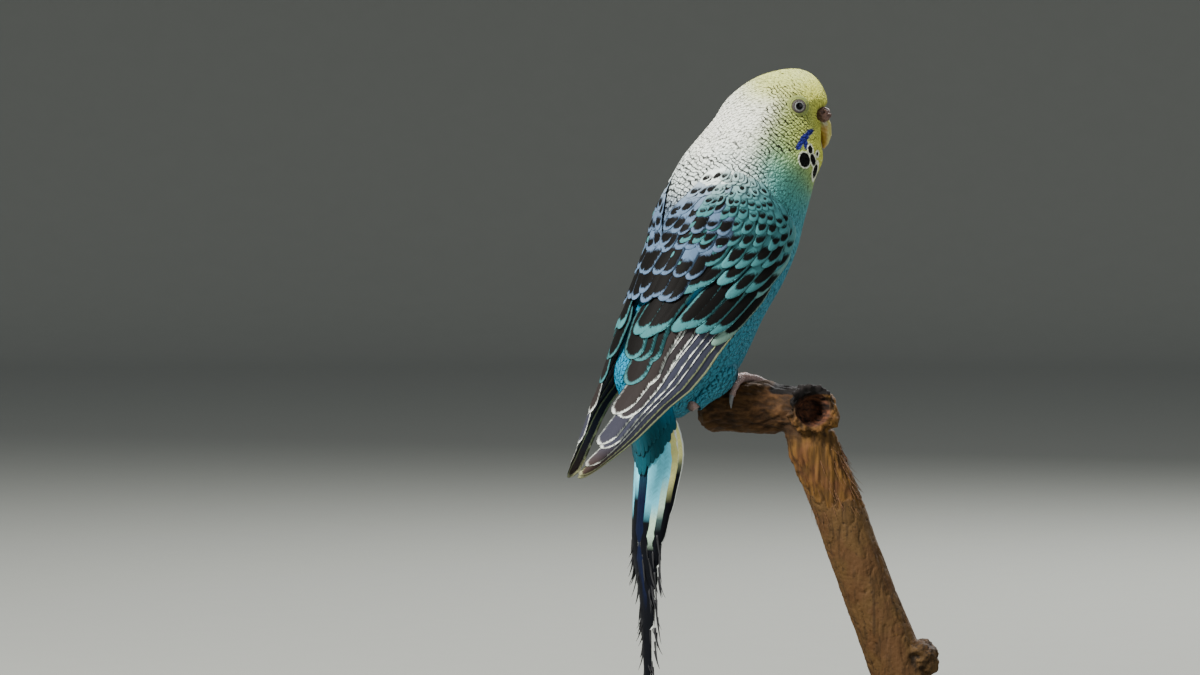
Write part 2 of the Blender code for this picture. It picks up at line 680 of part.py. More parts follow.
def build_tail(parts, cutters):
    """Core of small plumage, six pairs of tail feathers in a stepped arch, and upper coverts."""
    angles = np.linspace(0.0, 2 * math.pi, 14, endpoint=False)
    rings = []
    for z in np.linspace(TAIL_SECTIONS[0, 0], TAIL_CORE_END, 7):
        inset = TAIL_CORE_INSET * min(1.0, (TAIL_SECTIONS[0, 0] - z) / 8.0)
        close = min(1.0, (z - TAIL_CORE_END) / TAIL_CORE_TAPER + 0.15)
        cx = smooth_at(z, TAIL_SECTIONS, 1)
        a = (smooth_at(z, TAIL_SECTIONS, 2) - inset) * close
        b = (smooth_at(z, TAIL_SECTIONS, 3) - inset) * close
        shift = (1.0 - close) * TAIL_CORE_SHIFT
        rings.append(np.stack((cx + shift + a * np.cos(angles), b * np.sin(angles), z + 0 * angles),
                              axis=-1))
    pieces = []
    for side in (-1.0, 1.0):
        def surface(height, across, lift):
            return tail_point(height, across, lift, side)

        for k, tip in enumerate(RECTRIX_TIPS):
            across = 0.07 + 0.9 * k / (len(RECTRIX_TIPS) - 1)
            lift = (RECTRIX_LIFT[0], RECTRIX_LIFT[1] - RECTRIX_STEP * k)
            pieces.append(vane("rectrix", surface, (RECTRIX_ROOT, across), (tip, across), lift,
                               RECTRIX_HALF[k], RECTRIX_OUTLINE, cutters))
        for k, tip in enumerate(TAIL_COVERTS["tips"]):
            across = 0.12 + 0.3 * k
            pieces.append(vane("covert", surface, (TAIL_COVERTS["root"], across), (tip, across),
                                TAIL_COVERTS["lift"], TAIL_COVERTS["half_width"], COVERT_OUTLINE,
                               cutters))
    return unite(loft("tail", np.array(rings), parts), pieces)


def perch_place(along, around, height):
    """Point at a height over the stub's surface; around is the angle from the top, forwards."""
    reach = PERCH_RADIUS + height
    up = np.array((0.0, 0.0, 1.0))
    return (PERCH_MIDDLE + PERCH_AXIS * along
            + PERCH_ACROSS * math.sin(around) * reach + up * math.cos(around) * reach)


def toe_path(foot, turn, radius, start, end, steps, drop=0.0):
    """Points of a toe or claw that leaves the foot at a turn from the heading and wraps the perch.

    The path keeps the toe's radius off the wood, and sinks by drop towards its end.
    """
    heading = math.radians(FOOT_TURN + foot["side"] * turn)
    direction = np.array((math.cos(heading), math.sin(heading), 0.0))
    along_rate = float(direction @ PERCH_AXIS)
    around_rate = float(direction @ PERCH_ACROSS) / (PERCH_RADIUS + radius)
    points = []
    for k in range(steps):
        part = k / (steps - 1)
        s = start + (end - start) * part
        points.append(perch_place(foot["along"] + along_rate * s, around_rate * s,
                                  TOE_CLEAR + radius - drop * part))
    return points


def tarsus_tube(name, foot, collection, swell=0.0):
    """The bare shank, from the ankle up over the hind toes and down to the top of the perch."""
    top = perch_place(foot["along"], 0.0, TOE_CLEAR + TARSUS_RADIUS)
    ankle = np.array(foot["ankle"])
    run = (top - ankle) / np.linalg.norm(top - ankle)
    places = [ankle - run * swell * 2]
    radii = [TARSUS_RADIUS + swell + 0.2]
    for way, arch, extra in TARSUS_STATIONS:
        places.append(ankle + (top - ankle) * way + np.array((0.0, 0.0, TARSUS_ARCH * arch)))
        radii.append(TARSUS_RADIUS + swell + extra)
    return tube(name, places, radii, collection)


def build_foot(name, foot, parts, cutters):
    """Tarsus and four toes in one node, two toes forward and two back, and the claws."""
    made = {}
    tarsus = tarsus_tube("foot_" + name, foot, parts)
    toes = []
    for toe, turn, length, radius in TOES:
        points = toe_path(foot, turn, radius, 0.0, length, 8)
        shape = [radius * (1.0 - TOE_TAPER * k / (len(points) - 1)) for k in range(len(points))]
        toes.append(tube(toe, points, shape, cutters))
        claw = toe_path(foot, turn, radius, length + GAP * 1.3, length + CLAW_LENGTH,
                        len(CLAW_RADII), radius * 0.7)
        claw_name = "claw_" + name + "_" + toe
        made[claw_name] = tube(claw_name, claw, CLAW_RADII, parts)
    made["foot_" + name] = unite(tarsus, toes)
    return made


def build_leg(name, foot, parts, cutters):
    """The feathered leg under the belly, clear of the torso above and the tarsus below."""
    ankle = np.array(foot["ankle"])
    upper = np.array((THIGH_TOP[0], ankle[1] + foot["side"] * THIGH_TOP[1], THIGH_TOP[2]))
    middle = ankle * 0.5 + upper * 0.5
    leg = tube("leg_" + name, (upper, middle, ankle * 0.86 + upper * 0.14, ankle), LEG_RADII, parts, 4)
    clear = tarsus_tube("clear_tarsus", foot, cutters, GAP * 1.3)
    return cut(leg, [body_solid("clear_body", cutters, GAP), clear])


def clear_feet(torso, cutters):
    """Hollow the belly a little where the shanks and hind toes pass close under it."""
    tools = []
    for foot in FEET.values():
        for toe, turn, length, radius in TOES:
            if toe.endswith("back"):
                points = toe_path(foot, turn, radius, 0.0, length + CLAW_LENGTH + GAP, 12)
                tools.append(tube("clear_" + toe, points, [radius + GAP] * len(points), cutters))
        tools.append(tarsus_tube("clear_tarsus", foot, cutters, GAP))
    return cut(torso, tools)


def build_perch(parts, cutters):
    """Stub, collar round the hollow, stem and knot in one node."""
    steps = np.linspace(STUB_FAR, STUB_NEAR, 12)
    points = [PERCH_MIDDLE + PERCH_AXIS * s for s in steps]
    radii = [PERCH_RADIUS * math.sqrt(max(0.0, 1 - max(0.0, (STUB_FAR + 3.0 - s) / 3.4) ** 2))
             for s in steps]
    perch = tube("perch", points, radii, parts, 4)
    stem = tube("stem", STEM_PATH, STEM_RADII, cutters, 4)
    collar = rod("collar", COLLAR_POINT, COLLAR_POINT + COLLAR_AXIS * COLLAR_REACH,
                 *COLLAR_RADII, cutters, 16)
    knot = sphere("knot", KNOT_POINT, (KNOT_RADIUS, KNOT_RADIUS, KNOT_RADIUS * 1.1), cutters, 12, 8)
    unite(perch, [stem, collar, knot])
    mouth = COLLAR_POINT + COLLAR_AXIS * (COLLAR_REACH + 0.5)
    hollow = rod("hollow", mouth - COLLAR_AXIS * HOLLOW_DEPTH, mouth,
                 HOLLOW_RADIUS * 0.6, HOLLOW_RADIUS, cutters, 14)
    return cut(perch, [hollow])


def build_stand(parts):
    """A flat round base and one short rod up to the stem's cut end."""
    foot = np.array((0.0, 0.0, 0.0)) - PLACE
    base = rod("stand_base", foot, foot + (0, 0, BASE_THICK), BASE_RADIUS, BASE_RADIUS, parts, 44)
    edge = base.modifiers.new("edge", "BEVEL")
    edge.width = BASE_BEVEL * MM
    edge.segments = 1
    edge.limit_method = "ANGLE"
    end = STEM_PATH[-1]
    start = np.array((end[0], end[1], BASE_THICK + GAP))
    top = np.array((end[0], end[1], end[2] - 2.0))
    return base, rod("stand_rod", start, top, ROD_RADIUS, ROD_RADIUS, parts, 24)


def finish(target, made):
    """Give a node its one material and smooth shading."""
    target.data.materials.clear()
    target.data.materials.append(made)
    target.data.shade_smooth()
    target.data.set_sharp_from_angle(angle=math.radians(40.0))


def main():
    for old in list(bpy.data.objects):
        bpy.data.objects.remove(old)
    scene = bpy.context.scene.collection
    parts = bpy.data.collections.new(OBJECT_NAME)
    cutters = bpy.data.collections.new("cutters")
    scene.children.link(parts)
    scene.children.link(cutters)
    torso, neck, head = build_body(parts, cutters)
    face = build_face(head, parts, cutters)
    wings = [build_wing("wing_right", -1.0, parts, cutters), build_wing("wing_left", 1.0, parts, cutters)]
    tail = build_tail(parts, cutters)
    feet = {}
    legs = []
    for name, foot in FEET.items():
        feet.update(build_foot(name, foot, parts, cutters))
        legs.append(build_leg(name, foot, parts, cutters))
    clear_feet(torso, cutters)
    perch = build_perch(parts, cutters)
    base, post = build_stand(parts)
    finish(head, material("head_feathers", (0.60, 0.63, 0.26), 0.8))
    finish(neck, material("neck_feathers", (0.55, 0.62, 0.55), 0.8))
    finish(torso, material("breast_feathers", (0.06, 0.25, 0.30), 0.8))
    for wing in wings:
        finish(wing, material("wing_feathers", (0.06, 0.08, 0.08), 0.7))
    finish(tail, material("tail_feathers", (0.02, 0.16, 0.25), 0.65))
    for leg in legs:
        finish(leg, material("leg_feathers", (0.06, 0.25, 0.32), 0.8))
    for name, piece in feet.items():
        if name.startswith("claw"):
            finish(piece, material("claw_horn", (0.05, 0.06, 0.08), 0.35))
        else:
            finish(piece, material("foot_scales", (0.30, 0.24, 0.20), 0.55))
    finish(face["eye_right"], material("eye", (0.02, 0.02, 0.02), 0.08))
    finish(face["eye_left"], material("eye_far", (0.02, 0.02, 0.02), 0.08))
    finish(face["cere"], material("cere_skin", (0.12, 0.05, 0.05), 0.6))
    finish(face["beak_upper"], material("beak_horn", (0.40, 0.32, 0.10), 0.35))
    finish(face["beak_lower"], material("beak_horn_lower", (0.36, 0.29, 0.10), 0.4))
    finish(perch, material("branch_wood", (0.16, 0.09, 0.05), 0.8))
    finish(base, material("stand_wood", (0.05, 0.035, 0.025), 0.4))
    finish(post, material("stand_steel", (0.55, 0.55, 0.55), 0.3, 1.0))


main()
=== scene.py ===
import math
import bpy
import numpy as np
from mathutils import Matrix, Vector


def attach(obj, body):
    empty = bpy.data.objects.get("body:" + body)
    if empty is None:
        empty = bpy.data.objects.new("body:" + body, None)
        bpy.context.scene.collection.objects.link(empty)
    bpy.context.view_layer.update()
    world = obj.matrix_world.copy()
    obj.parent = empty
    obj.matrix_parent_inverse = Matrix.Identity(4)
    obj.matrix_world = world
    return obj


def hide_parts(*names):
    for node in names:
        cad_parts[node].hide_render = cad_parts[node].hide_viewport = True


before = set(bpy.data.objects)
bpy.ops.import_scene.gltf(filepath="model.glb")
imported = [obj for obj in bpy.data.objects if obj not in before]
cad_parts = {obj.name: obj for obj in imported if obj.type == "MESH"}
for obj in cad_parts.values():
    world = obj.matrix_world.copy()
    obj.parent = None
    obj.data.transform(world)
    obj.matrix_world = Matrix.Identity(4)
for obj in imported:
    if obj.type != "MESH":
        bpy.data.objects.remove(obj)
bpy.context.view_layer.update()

bl_info = {
    "name": "Budgerigar on a branch",
    "version": (1, 0, 0),
    "blender": (4, 5, 0),
    "location": "View3D > Sidebar > Budgerigar",
    "description": "Plumage, face, feet, branch and studio for the budgerigar model",
    "category": "Object",
}

MM = 0.001

# Place of the bird's own drawing frame over the stand, in millimetres.
PLACE = np.array((-16.0, 20.0, 0.0))

# The body's level sections: height, middle x, middle y, half length, half width, heading.
BODY_SECTIONS = np.array((
    (209.2, 33.0, -3.0, 0.0, 0.0, -30.0),
    (207.2, 31.2, -3.0, 8.0, 7.2, -30.0),
    (203.0, 28.8, -3.0, 13.2, 11.2, -30.0),
    (199.6, 27.2, -3.0, 15.6, 12.9, -30.0),
    (193.4, 23.8, -3.0, 17.0, 14.0, -30.0),
    (187.2, 20.2, -3.0, 19.3, 14.3, -30.0),
    (181.0, 17.9, -2.5, 22.2, 14.6, -25.0),
    (174.8, 15.4, -1.5, 23.1, 15.2, -15.0),
    (168.6, 14.0, -0.5, 24.4, 15.8, -5.0),
    (162.4, 12.4, 0.0, 25.1, 15.9, 0.0),
    (153.1, 9.7, 0.0, 24.8, 16.0, 0.0),
    (143.8, 5.6, 0.0, 23.9, 16.3, 0.0),
    (131.4, -1.6, 0.0, 22.5, 15.8, 0.0),
    (122.1, -6.2, 0.0, 22.1, 14.6, 0.0),
    (115.9, -9.3, 0.0, 21.4, 12.6, 0.0),
    (109.7, -13.4, 0.0, 16.4, 9.6, 0.0),
    (103.2, -15.6, 0.0, 10.4, 6.0, 0.0),
))
BODY_TOP = BODY_SECTIONS[0, 0]
BODY_BOTTOM = BODY_SECTIONS[-1, 0]
SIZE_COLUMNS = slice(3, 5)
BODY_SQUARES = BODY_SECTIONS.copy()
BODY_SQUARES[:, SIZE_COLUMNS] **= 2

# The folded wing's level sections: height, middle x, half length, half width, back and outer edge angles.
WING_SECTIONS = np.array((
    (172.0, 13.6, 24.8, 16.4, 148.0, 84.0),
    (162.0, 12.2, 25.8, 16.8, 162.0, 58.0),
    (153.0, 9.6, 25.6, 17.2, 168.0, 52.0),
    (143.0, 5.0, 24.9, 17.9, 170.0, 62.0),
    (131.0, -1.8, 23.6, 18.6, 171.0, 76.0),
    (122.7, -6.0, 23.2, 19.0, 171.0, 89.0),
    (110.3, -17.0, 17.1, 17.6, 170.0, 90.0),
    (106.6, -22.0, 14.0, 16.0, 169.0, 90.0),
    (95.0, -34.0, 8.3, 10.6, 165.0, 88.0),
    (88.0, -42.0, 5.3, 5.8, 160.0, 85.0),
    (83.4, -47.8, 2.2, 2.6, 158.0, 85.0),
))
WING_TOP = WING_SECTIONS[0, 0]
WING_CLEAR = 0.5

# The tail's level sections: height, middle x, half length, half width.
TAIL_SECTIONS = np.array((
    (102.9, -15.6, 9.9, 7.6),
    (96.0, -15.2, 8.0, 9.9),
    (92.0, -15.0, 7.0, 10.6),
    (78.0, -17.0, 5.4, 9.6),
    (63.0, -19.4, 4.0, 7.4),
    (44.6, -18.6, 2.6, 5.0),
    (29.0, -19.0, 1.7, 3.2),
    (13.2, -19.0, 0.9, 1.3),
))
TAIL_ARC = 96.0

# The head's own frame, turned to the bird's right, with its eyes, beak and cere.
HEAD_TURN = -30.0
HEAD_ORIGIN = np.array((24.4, -3.0, 194.4))
EYE_FORWARD = 7.4
EYE_UP = 3.1
EYE_RADIUS = 3.0
EYE_SUNK = 2.1
LID_FACING = np.array((0.14, 0.98, 0.05))
BEAK_ROOT = (13.5, 0.0, -2.0)
CERE_FORWARD = 16.3
CERE_UP = 0.55

# The branch: a level stub, a hollow collar and the long stem under it.
PERCH_MIDDLE = np.array((11.4, 0.0, 104.2))
PERCH_AXIS = np.array((0.46, -0.888, 0.0))
PERCH_ACROSS = np.array((0.888, 0.46, 0.0))
PERCH_RADIUS = 7.7
COLLAR_POINT = np.array((23.9, -24.2, 103.4))
COLLAR_AXIS = np.array((-0.45, -0.88, 0.13))
COLLAR_REACH = 8.5
HOLLOW_RADIUS = 5.3
BARK_HEIGHT = 76.0
KNOT_POINT = np.array((51.0, -45.5, 27.0))
KNOT_RADIUS = 5.6

# The feet: side, place along the stub, ankle; and each toe's turn, length and radius.
FOOT_TURN = 10.0
FEET = {"right": (-1, 5.2, (-6.4, -7.4, 106.2)), "left": (1, -3.4, (-9.0, 8.0, 107.2))}
TOES = {
    "inner_front": (-10.0, 9.0, 1.15),
    "outer_front": (22.0, 12.0, 1.25),
    "outer_back": (165.0, 9.5, 1.2),
    "inner_back": (-165.0, 6.5, 1.1),
}
TOE_CLEAR = 0.4
TOE_TAPER = 0.25
THIGH_TOP = (7.0, 1.4, 119.0)
LEG_RADII = (5.4, 4.6, 3.0, 2.1)
LEG_PLACES = (0.0, 0.5, 0.86, 1.0)


def picture(red, green, blue):
    """A colour given as 8-bit picture values, as the linear values a shader takes."""
    parts = np.array((red, green, blue)) / 255.0
    return tuple(np.where(parts < 0.04045, parts / 12.92, ((parts + 0.055) / 1.055) ** 2.4).tolist())


def colour_property(name, description, red, green, blue):
    """A colour setting with its default given as 8-bit picture values."""
    return bpy.props.FloatVectorProperty(
        name=name, description=description, subtype="COLOR", size=3, min=0.0, max=1.0,
        default=picture(red, green, blue))


def size_property(name, description, default):
    """A length setting in millimetres."""
    return bpy.props.FloatProperty(name=name, description=description, default=default, min=0.0, precision=3)


class Value:
    """A number socket that takes part in Python expressions: each operation adds its Math node."""

    def __init__(self, finish, socket):
        self.finish = finish
        self.socket = socket

    def math(self, operation, first, second=None):
        sockets = {0: first} if second is None else {0: first, 1: second}
        return self.finish.add("ShaderNodeMath", {"operation": operation}, sockets)

    def __add__(self, other):
        return self.math("ADD", self, other)

    __radd__ = __add__

    def __sub__(self, other):
        return self.math("SUBTRACT", self, other)

    def __rsub__(self, other):
        return self.math("SUBTRACT", other, self)

    def __mul__(self, other):
        return self.math("MULTIPLY", self, other)

    __rmul__ = __mul__

    def __truediv__(self, other):
        return self.math("DIVIDE", self, other)

    def __pow__(self, other):
        return self.math("POWER", self, other)

    def __abs__(self):
        return self.math("ABSOLUTE", self)

    def sine(self):
        return self.math("SINE", self)

    def root(self):
        return self.math("SQRT", self)

    def least(self, other):
        return self.math("MINIMUM", self, other)

    def most(self, other):
        return self.math("MAXIMUM", self, other)

    def ramp(self, start, end):
        """0 at start, 1 at end and smooth between: the Map Range node's smoothstep."""
        return self.finish.add(
            "ShaderNodeMapRange", {"interpolation_type": "SMOOTHSTEP"},
            {"Value": self, "From Min": start, "From Max": end})


class Finish:
    """A material whose nodes are added by one method and joined by expressions."""

    def __init__(self, name):
        self.material = bpy.data.materials.new(name)
        self.material.use_nodes = True
        self.tree = self.material.node_tree
        self.surface = self.tree.nodes["Principled BSDF"]

    def feed(self, socket, value):
        if isinstance(value, Value):
            self.tree.links.new(value.socket, socket)
        elif socket.type == "RGBA" and len(value) == 3:
            socket.default_value = (*value, 1.0)
        else:
            socket.default_value = value

    def add(self, kind, settings=None, sockets=None, output=0):
        """Add a node: its settings first, then its sockets' values or links; gives one output."""
        node = self.tree.nodes.new(kind)
        for key, value in (settings or {}).items():
            if key == "stops":
                elements = node.color_ramp.elements
                while len(elements) < len(value):
                    elements.new(0.5)
                for element, (place, colour) in zip(elements, value):
                    element.position = place
                    element.color = (*colour, 1.0)
            else:
                setattr(node, key, value)
        for key, value in (sockets or {}).items():
            self.feed(node.inputs[key], value)
        return Value(self, node.outputs[output])

    def set(self, **sockets):
        """Give the surface shader its values; an underscore stands for a blank in a name."""
        for key, value in sockets.items():
            self.feed(self.surface.inputs[key.replace("_", " ")], value)

    def place(self):
        return self.add("ShaderNodeTexCoord", output="Object")

    def parts(self, vector):
        """The three numbers of a vector."""
        node = self.add("ShaderNodeSeparateXYZ", sockets={0: vector}).socket.node
        return [Value(self, output) for output in node.outputs]

    def moved(self, vector, scale=(1.0, 1.0, 1.0), turn=(0.0, 0.0, 0.0), shift=(0.0, 0.0, 0.0)):
        return self.add("ShaderNodeMapping", sockets={
            "Vector": vector, "Scale": scale, "Rotation": turn, "Location": shift})

    def noise(self, vector, scale, detail=3.0, roughness=0.55):
        return self.add("ShaderNodeTexNoise", sockets={
            "Vector": vector, "Scale": scale, "Detail": detail, "Roughness": roughness})

    def cells(self, vector, scale, feature="F1"):
        return self.add("ShaderNodeTexVoronoi", {"feature": feature}, {"Vector": vector, "Scale": scale})

    def mix(self, share, first, second):
        """Mix two colours by a share."""
        node = self.tree.nodes.new("ShaderNodeMix")
        node.data_type = "RGBA"
        self.feed(node.inputs[0], share)
        self.feed(node.inputs[6], first)
        self.feed(node.inputs[7], second)
        return Value(self, node.outputs[2])

    def shade(self, colour, amount):
        """A colour made lighter or darker: multiplied by an amount in all three channels."""
        return self.add("ShaderNodeVectorMath", {"operation": "SCALE"}, {0: colour, "Scale": amount})

    def bump(self, height, distance, strength=1.0):
        """Height relief that goes to the shader's normal; the distance is in metres."""
        bump = self.add("ShaderNodeBump", sockets={
            "Height": height, "Distance": distance, "Strength": strength})
        self.feed(self.surface.inputs["Normal"], bump)

    def attribute(self, name, output="Color"):
        return self.add("ShaderNodeAttribute", {"attribute_name": name}, output=output)


def smooth_at(height, stations, column):
    """Read a column of a section table with cubic Hermite curves whose slopes are the mean
    slopes at each station, going on straight past both ends."""
    xs = stations[::-1, 0]
    ys = stations[::-1, column]
    slope = np.gradient(ys, xs)
    height = np.asarray(height, float)
    inside = np.clip(height, xs[0], xs[-1])
    i = np.clip(np.searchsorted(xs, inside) - 1, 0, len(xs) - 2)
    width = xs[i + 1] - xs[i]
    t = (inside - xs[i]) / width
    value = (
        (1 + 2 * t) * (1 - t) ** 2 * ys[i]
        + t * (1 - t) ** 2 * width * slope[i]
        + t * t * (3 - 2 * t) * ys[i + 1]
        + t * t * (t - 1) * width * slope[i + 1]
    )
    return value + (height - inside) * np.where(height > inside, slope[-1], slope[0])


def body_section(height):
    """Middle, squared half sizes and heading (radians) of the body's section at a height."""
    columns = [smooth_at(height, BODY_SQUARES, k) for k in range(1, 6)]
    return (*columns[:4], np.radians(columns[4]))


def body_local(points):
    """A point's forward and left distance from the middle of the body's section at its height."""
    cx, cy, long_square, wide_square, heading = body_section(points[..., 2])
    x = points[..., 0] - cx
    y = points[..., 1] - cy
    c = np.cos(heading)
    s = np.sin(heading)
    return x * c + y * s, y * c - x * s, long_square, wide_square


def body_point(height, angle, swell=0.0):
    """Point on the body's skin line: an ellipse at each height, with the angle from the front."""
    height = np.asarray(height, float)
    cx, cy, long_square, wide_square, heading = body_section(height)
    forward = (np.sqrt(np.maximum(long_square, 1e-4)) + swell) * np.cos(angle)
    left = (np.sqrt(np.maximum(wide_square, 1e-4)) + swell) * np.sin(angle)
    c = np.cos(heading)
    s = np.sin(heading)
    return np.stack((cx + forward * c - left * s, cy + forward * s + left * c, height + 0.0 * forward), -1)


def body_level(points):
    """Level function of the body, zero on its surface and positive outside."""
    forward, left, long_square, wide_square = body_local(points)
    ratio = np.sqrt(np.maximum(wide_square, 0.05) / np.maximum(long_square, 0.05))
    product = long_square * wide_square
    size = np.where(long_square > 0, 1.0, -1.0) * np.sqrt(np.abs(product))
    return forward ** 2 * ratio + left ** 2 / ratio - size


def settle(points, rounds=4):
    """Move points to the nearest place on the body by Newton steps down the level function;
    gives the points and the outward normals there."""
    step = 0.05
    normal = None
    for _ in range(rounds):
        slope = np.stack([
            (body_level(points + step * axis) - body_level(points - step * axis)) / (2 * step)
            for axis in np.eye(3)], -1)
        square = np.maximum((slope ** 2).sum(-1, keepdims=True), 1e-9)
        points = points - slope * body_level(points)[..., None] / square
        normal = slope / np.sqrt(square)
    return points, normal


def unit(vectors):
    """Vectors at length one."""
    return vectors / np.maximum(np.linalg.norm(vectors, axis=-1, keepdims=True), 1e-9)


def smooth_step(value, start, end):
    """0 below start, 1 above end, with the cubic 3t^2 - 2t^3 between."""
    t = np.clip((np.asarray(value, float) - start) / (end - start), 0.0, 1.0)
    return t * t * (3 - 2 * t)


def head_point(forward, left, up):
    """A point given in the head's own turned frame."""
    turn = math.radians(HEAD_TURN)
    return HEAD_ORIGIN + np.array((
        forward * math.cos(turn) - left * math.sin(turn),
        forward * math.sin(turn) + left * math.cos(turn), up))


def head_direction(forward, left, up):
    """A direction given in the head's own turned frame."""
    return head_point(forward, left, up) - HEAD_ORIGIN


def in_head(points):
    """Forward, left and up places of points in the head's own frame."""
    turn = math.radians(HEAD_TURN)
    offset = points - HEAD_ORIGIN
    forward = offset[..., 0] * math.cos(turn) + offset[..., 1] * math.sin(turn)
    left = offset[..., 1] * math.cos(turn) - offset[..., 0] * math.sin(turn)
    return forward, left, offset[..., 2]


def eye_centre(side):
    """The eye's middle, sunk a little into the side of the head."""
    up = HEAD_ORIGIN[2] + EYE_UP
    cx, _, long_square, wide_square, _ = body_section(up)
    ahead = EYE_FORWARD - (cx - HEAD_ORIGIN[0]) * math.cos(math.radians(HEAD_TURN))
    left = math.sqrt(wide_square) * math.sqrt(1 - ahead ** 2 / long_square) - EYE_SUNK
    return head_point(EYE_FORWARD, side * left, EYE_UP)


def eye_axis(side):
    """The direction the eye looks in."""
    forward, left, up = LID_FACING
    return unit(head_direction(forward, side * left, up))


def clear_of_body(points, gap):
    """Push points level out of the body's section until they stand a gap off it."""
    forward, left, long_square, wide_square = body_local(points)
    reach_long = np.sqrt(np.maximum(long_square, 1e-4)) + gap
    reach_wide = np.sqrt(np.maximum(wide_square, 1e-4)) + gap
    reach = np.sqrt((forward / reach_long) ** 2 + (left / reach_wide) ** 2)
    beside = (points[..., 2] > BODY_BOTTOM) & (points[..., 2] < BODY_TOP)
    push = np.where(beside & (reach < 1), 1 / np.maximum(reach, 0.05), 1.0)
    cx = smooth_at(points[..., 2], BODY_SQUARES, 1)
    cy = smooth_at(points[..., 2], BODY_SQUARES, 2)
    return np.stack((
        cx + (points[..., 0] - cx) * push, cy + (points[..., 1] - cy) * push, points[..., 2]), -1)


def wing_point(height, across, lift, side):
    """Point on the folded wing: an ellipse at each height, walked from the edge along the
    back (0) to the leading edge (1), lifted off it and kept clear of the body."""
    cx, long, wide, back, outer = (smooth_at(height, WING_SECTIONS, k) for k in range(1, 6))
    angle = np.radians(back + (outer - back) * across)
    points = np.stack((
        cx + (long + lift) * np.cos(angle), side * (wide + lift) * np.sin(angle),
        height + 0.0 * across), -1)
    return clear_of_body(points, WING_CLEAR + lift)


def shoulder_point(height, across, lift, side):
    """Point on the wing's coverts: the wing's own surface, drawn in towards the body over the
    shoulder so that the topmost rows grow out of the neck's coat."""
    edge = (1 - smooth_step(across, -0.05, 0.22)) * smooth_step(height, 148.0, 158.0)
    lift = lift * (1 - 0.5 * edge)
    points = wing_point(height, across, lift, side)
    forward, left, long_square, wide_square = body_local(points)
    reach = np.sqrt((forward ** 2 / (np.sqrt(np.maximum(long_square, 1e-4)) + lift) ** 2)
                    + (left ** 2 / (np.sqrt(np.maximum(wide_square, 1e-4)) + lift) ** 2))
    drawn = np.maximum(smooth_step(points[..., 2], 163.0, 174.0), 0.95 * edge)
    pull = 1 + (1 / np.maximum(reach, 0.5) - 1) * drawn
    cx = smooth_at(points[..., 2], BODY_SQUARES, 1)
    cy = smooth_at(points[..., 2], BODY_SQUARES, 2)
    return np.stack((
        cx + (points[..., 0] - cx) * pull, cy + (points[..., 1] - cy) * pull, points[..., 2]), -1)


def tail_point(height, across, lift, side):
    """Point on the folded tail: an ellipse at each height, walked from the middle feathers
    (0) to the outermost (1)."""
    cx, long, wide = (smooth_at(height, TAIL_SECTIONS, k) for k in range(1, 4))
    angle = math.pi - np.radians(TAIL_ARC) * across
    return np.stack((
        cx + (long + lift) * np.cos(angle), side * (wide + lift) * np.sin(angle),
        height + 0.0 * across), -1)


def build_mesh(name, points, quads, triangles=None, uvs=None, colours=None, vectors=None):
    """Put whole arrays into a mesh: points in the bird's millimetres, faces as index rows,
    named per-point UV maps, colours and vectors."""
    points = np.asarray(points, float).reshape(-1, 3)
    quads = np.asarray(quads, np.int64).reshape(-1, 4)
    triangles = np.zeros((0, 3), np.int64) if triangles is None else np.asarray(triangles).reshape(-1, 3)
    corners = points[quads]
    volume = np.einsum("ij,ij->", corners[:, 0], np.cross(
        corners[:, 1] - corners[:, 0], corners[:, 2] - corners[:, 0]))
    volume += np.einsum("ij,ij->", corners[:, 0], np.cross(
        corners[:, 2] - corners[:, 0], corners[:, 3] - corners[:, 0]))
    corners = points[triangles]
    volume += np.einsum("ij,ij->", corners[:, 0], np.cross(
        corners[:, 1] - corners[:, 0], corners[:, 2] - corners[:, 0]))
    if volume < 0:
        quads = quads[:, ::-1]
        triangles = triangles[:, ::-1]
    loops = np.concatenate((quads.ravel(), triangles.ravel()))
    starts = np.concatenate((np.arange(len(quads)) * 4, len(quads) * 4 + np.arange(len(triangles)) * 3))
    mesh = bpy.data.meshes.new(name)
    mesh.vertices.add(len(points))
    mesh.vertices.foreach_set("co", ((points + PLACE) * MM).ravel())
    mesh.loops.add(len(loops))
    mesh.loops.foreach_set("vertex_index", loops.astype(np.int32))
    mesh.polygons.add(len(starts))
    mesh.polygons.foreach_set("loop_start", starts.astype(np.int32))
    mesh.update(calc_edges=True)
    for key, value in (uvs or {}).items():
        layer = mesh.uv_layers.new(name=key)
        layer.data.foreach_set("uv", np.asarray(value, float).reshape(-1, 2)[loops].ravel())
    for key, value in (colours or {}).items():
        rgba = np.ones((len(points), 4))
        rgba[:, :value.shape[-1]] = value.reshape(len(points), -1)
        mesh.attributes.new(key, "FLOAT_COLOR", "POINT").data.foreach_set("color", rgba.ravel())
    for key, value in (vectors or {}).items():
        mesh.attributes.new(key, "FLOAT_VECTOR", "POINT").data.foreach_set("vector", value.ravel())
    mesh.polygons.foreach_set("use_smooth", np.ones(len(starts), bool))
    return mesh


def add_piece(name, mesh, finish, slot, *nodes):
    """Show a mesh as a piece that rides on the model's one body."""
    piece = bpy.data.objects.new(name, mesh)
    bpy.context.scene.collection.objects.link(piece)
    mesh.materials.clear()
    mesh.materials.append(finish.material)
    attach(piece, "root")
    if nodes:
        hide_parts(*nodes)
    return piece


def dress_node(node, finish):
    """Give a CAD node that keeps its shape its finish."""
    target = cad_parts[node]
    for slot in target.material_slots:
        slot.material = finish.material


